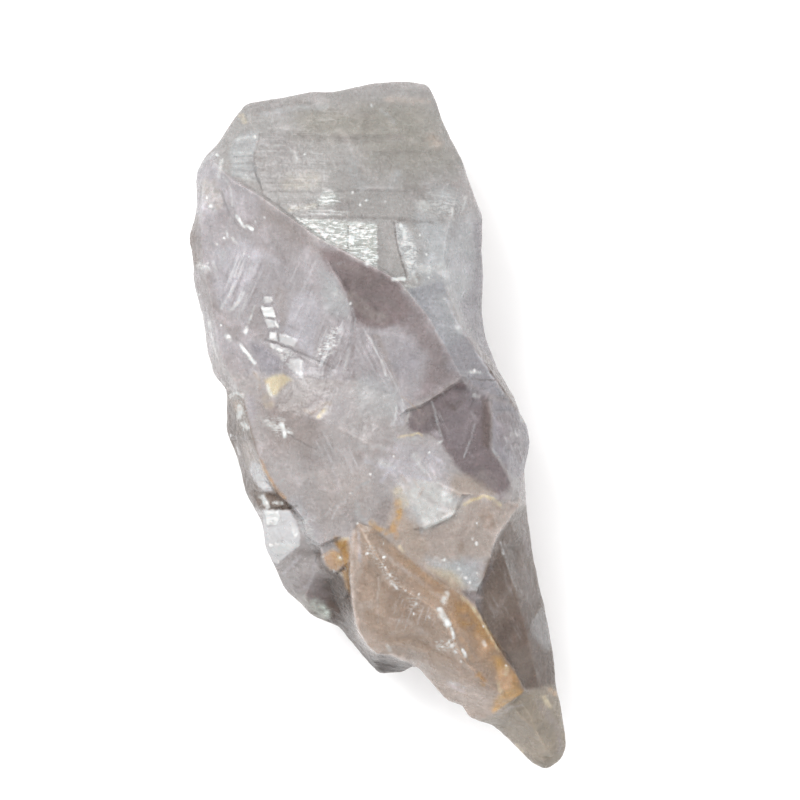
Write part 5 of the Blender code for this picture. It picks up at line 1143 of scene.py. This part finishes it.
def quartz_material():
    """Cloudy quartz: half clear, with light that spreads below its surface."""
    material = bpy.data.materials.new("cloudy_quartz")
    material.use_nodes = True
    nodes = Nodes(material)
    shader = material.node_tree.nodes["Principled BSDF"]
    place = nodes.vector("MULTIPLY", nodes.add("TexCoord", {}).outputs["Object"], (1 / MM, 1 / MM, 1 / MM))
    # The colour is read first: the renderer mixes up the stored values of a see-through stone otherwise.
    colour = nodes.stored("tint", "Color")
    prism, glitter, flash = (nodes.stored(name) for name in ("prism", "glitter", "flash"))
    colour = add_veils(nodes, place, colour)
    colour, streaked = add_streaks(nodes, place, colour)
    colour, grown = add_growth_lines(nodes, place, colour, prism)
    bright = flashing(nodes, place, glitter, flash)
    # Painted highlight: where glints and plates flash, the colour is painted near white.
    colour = nodes.mix(nodes.product(bright, 0.9), colour, PAINTED_GLINT_COLOUR)
    normal = surface_normal(nodes, place, streaked, grown, bright)
    roughness = nodes.span(nodes.noise(place, 0.7, 4.0, 0.6), 0.3, 0.7, *ROUGHNESS)
    roughness = nodes.maths("SUBTRACT", roughness, nodes.product(bright, 0.08))

    links = material.node_tree.links
    links.new(colour, shader.inputs["Base Color"])
    links.new(roughness, shader.inputs["Roughness"])
    links.new(normal, shader.inputs["Normal"])
    shader.inputs["IOR"].default_value = QUARTZ_IOR
    shader.inputs["Specular IOR Level"].default_value = 0.12
    shader.inputs["Transmission Weight"].default_value = 0.5
    shader.inputs["Subsurface Weight"].default_value = 0.6
    shader.inputs["Subsurface Radius"].default_value = (1.0, 0.85, 0.8)
    shader.inputs["Subsurface Scale"].default_value = 1.6 * MM
    absorption = nodes.add("VolumeAbsorption", {"Color": (0.80, 0.74, 0.73, 1.0), "Density": 110.0})
    links.new(absorption.outputs[0], material.node_tree.nodes["Material Output"].inputs["Volume"])
    return material


def shape_stone(mesh):
    """Gives the mesh its fine relief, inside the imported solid's box."""
    places, normals = read_places(mesh)
    low, high = (np.array(corner) / MM for corner in CAD_BOX)
    moved = places + normals * fine_relief(places, normals)[:, None]
    lines = 0.5 + growth_lines(places, BASE_GROWTH_WIDTH, 7.0)
    moved[:, 2] += BASE_GROWTH_DEPTH * base_share(places, normals) * lines
    mesh.vertices.foreach_set("co", (np.clip(moved, low, high) * MM).ravel())
    mesh.update()


def store_values(mesh):
    """Stores at each point its colour, and how much of each kind of surface it has."""
    places, normals = read_places(mesh)
    upper = smooth_step(0.5 + normals[:, 2] / 0.5)
    prism = within(places[:, 0], places[:, 1], PRISM_FACE, 1.5) * upper
    band = within(places[:, 0], places[:, 1], CREASE_BAND, 0.4) * upper
    add_values(mesh, "prism", np.maximum.reduce([prism, band, base_share(places, normals)]))
    for name, faces in (("glitter", GLITTER_FACES), ("streaks", STREAKED_FACES), ("ribs", RIBBED_FACES)):
        add_values(mesh, name, face_share(places, normals, faces))
    # The mask of painted glints on plates, bright marks and sparks.
    add_values(mesh, "flash", painted_glint_share(places, normals))
    colours = stone_colours(places, normals, hollowness(mesh, places, normals))
    colours = np.column_stack([colours, np.ones(len(places))])
    mesh.attributes.new("tint", "FLOAT_COLOR", "POINT").data.foreach_set("color", colours.astype(np.float32).ravel())


def make_stone():
    stone = smoothed_copy(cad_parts["quartz"])
    mesh = stone.data
    shape_stone(mesh)
    for name in [attribute.name for attribute in mesh.attributes if attribute.name.startswith("crease")]:
        mesh.attributes.remove(mesh.attributes[name])
    mesh.shade_smooth()
    mesh.set_sharp_from_angle(angle=SHARP_ANGLE)
    store_values(mesh)
    mesh.materials.clear()
    mesh.materials.append(quartz_material())
    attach(stone, "root")
    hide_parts("quartz")


def make_floor():
    mesh = bpy.data.meshes.new("floor")
    corners = [(x * FLOOR_HALF, y * FLOOR_HALF, 0) for x, y in ((-1, -1), (1, -1), (1, 1), (-1, 1))]
    mesh.from_pydata(corners, [], [(0, 1, 2, 3)])
    floor = bpy.data.objects.new("floor", mesh)
    bpy.context.scene.collection.objects.link(floor)
    material = bpy.data.materials.new("pale_floor")
    material.use_nodes = True
    shader = material.node_tree.nodes["Principled BSDF"]
    shader.inputs["Base Color"].default_value = FLOOR_COLOUR
    shader.inputs["Roughness"].default_value = 0.9
    shader.inputs["Specular IOR Level"].default_value = 0.1
    mesh.materials.append(material)


def make_lights():
    world = bpy.data.worlds.new("pale_room")
    world.use_nodes = True
    world.node_tree.nodes["Background"].inputs["Color"].default_value = (1.0, 1.0, 1.0, 1.0)
    world.node_tree.nodes["Background"].inputs["Strength"].default_value = ROOM_LIGHT
    bpy.context.scene.world = world
    key = bpy.data.objects.new("key", bpy.data.lights.new("key", "AREA"))
    key.data.size = KEY_SIZE
    key.data.energy = KEY_POWER
    key.location = KEY_PLACE
    key.rotation_euler = (-Vector(KEY_PLACE)).to_track_quat("-Z", "Y").to_euler()
    bpy.context.scene.collection.objects.link(key)


def make_camera():
    camera = bpy.data.objects.new("camera", bpy.data.cameras.new("camera"))
    camera.data.sensor_width = SENSOR_WIDTH
    camera.data.lens = SENSOR_WIDTH * (CAMERA_HEIGHT - OUTLINE_HEIGHT) / FRAME_WIDTH
    camera.location = (*FRAME_MIDDLE, CAMERA_HEIGHT)
    bpy.context.scene.collection.objects.link(camera)
    bpy.context.scene.camera = camera


bpy.context.scene.view_settings.view_transform = "Standard"
make_camera()
make_lights()
make_floor()
make_stone()
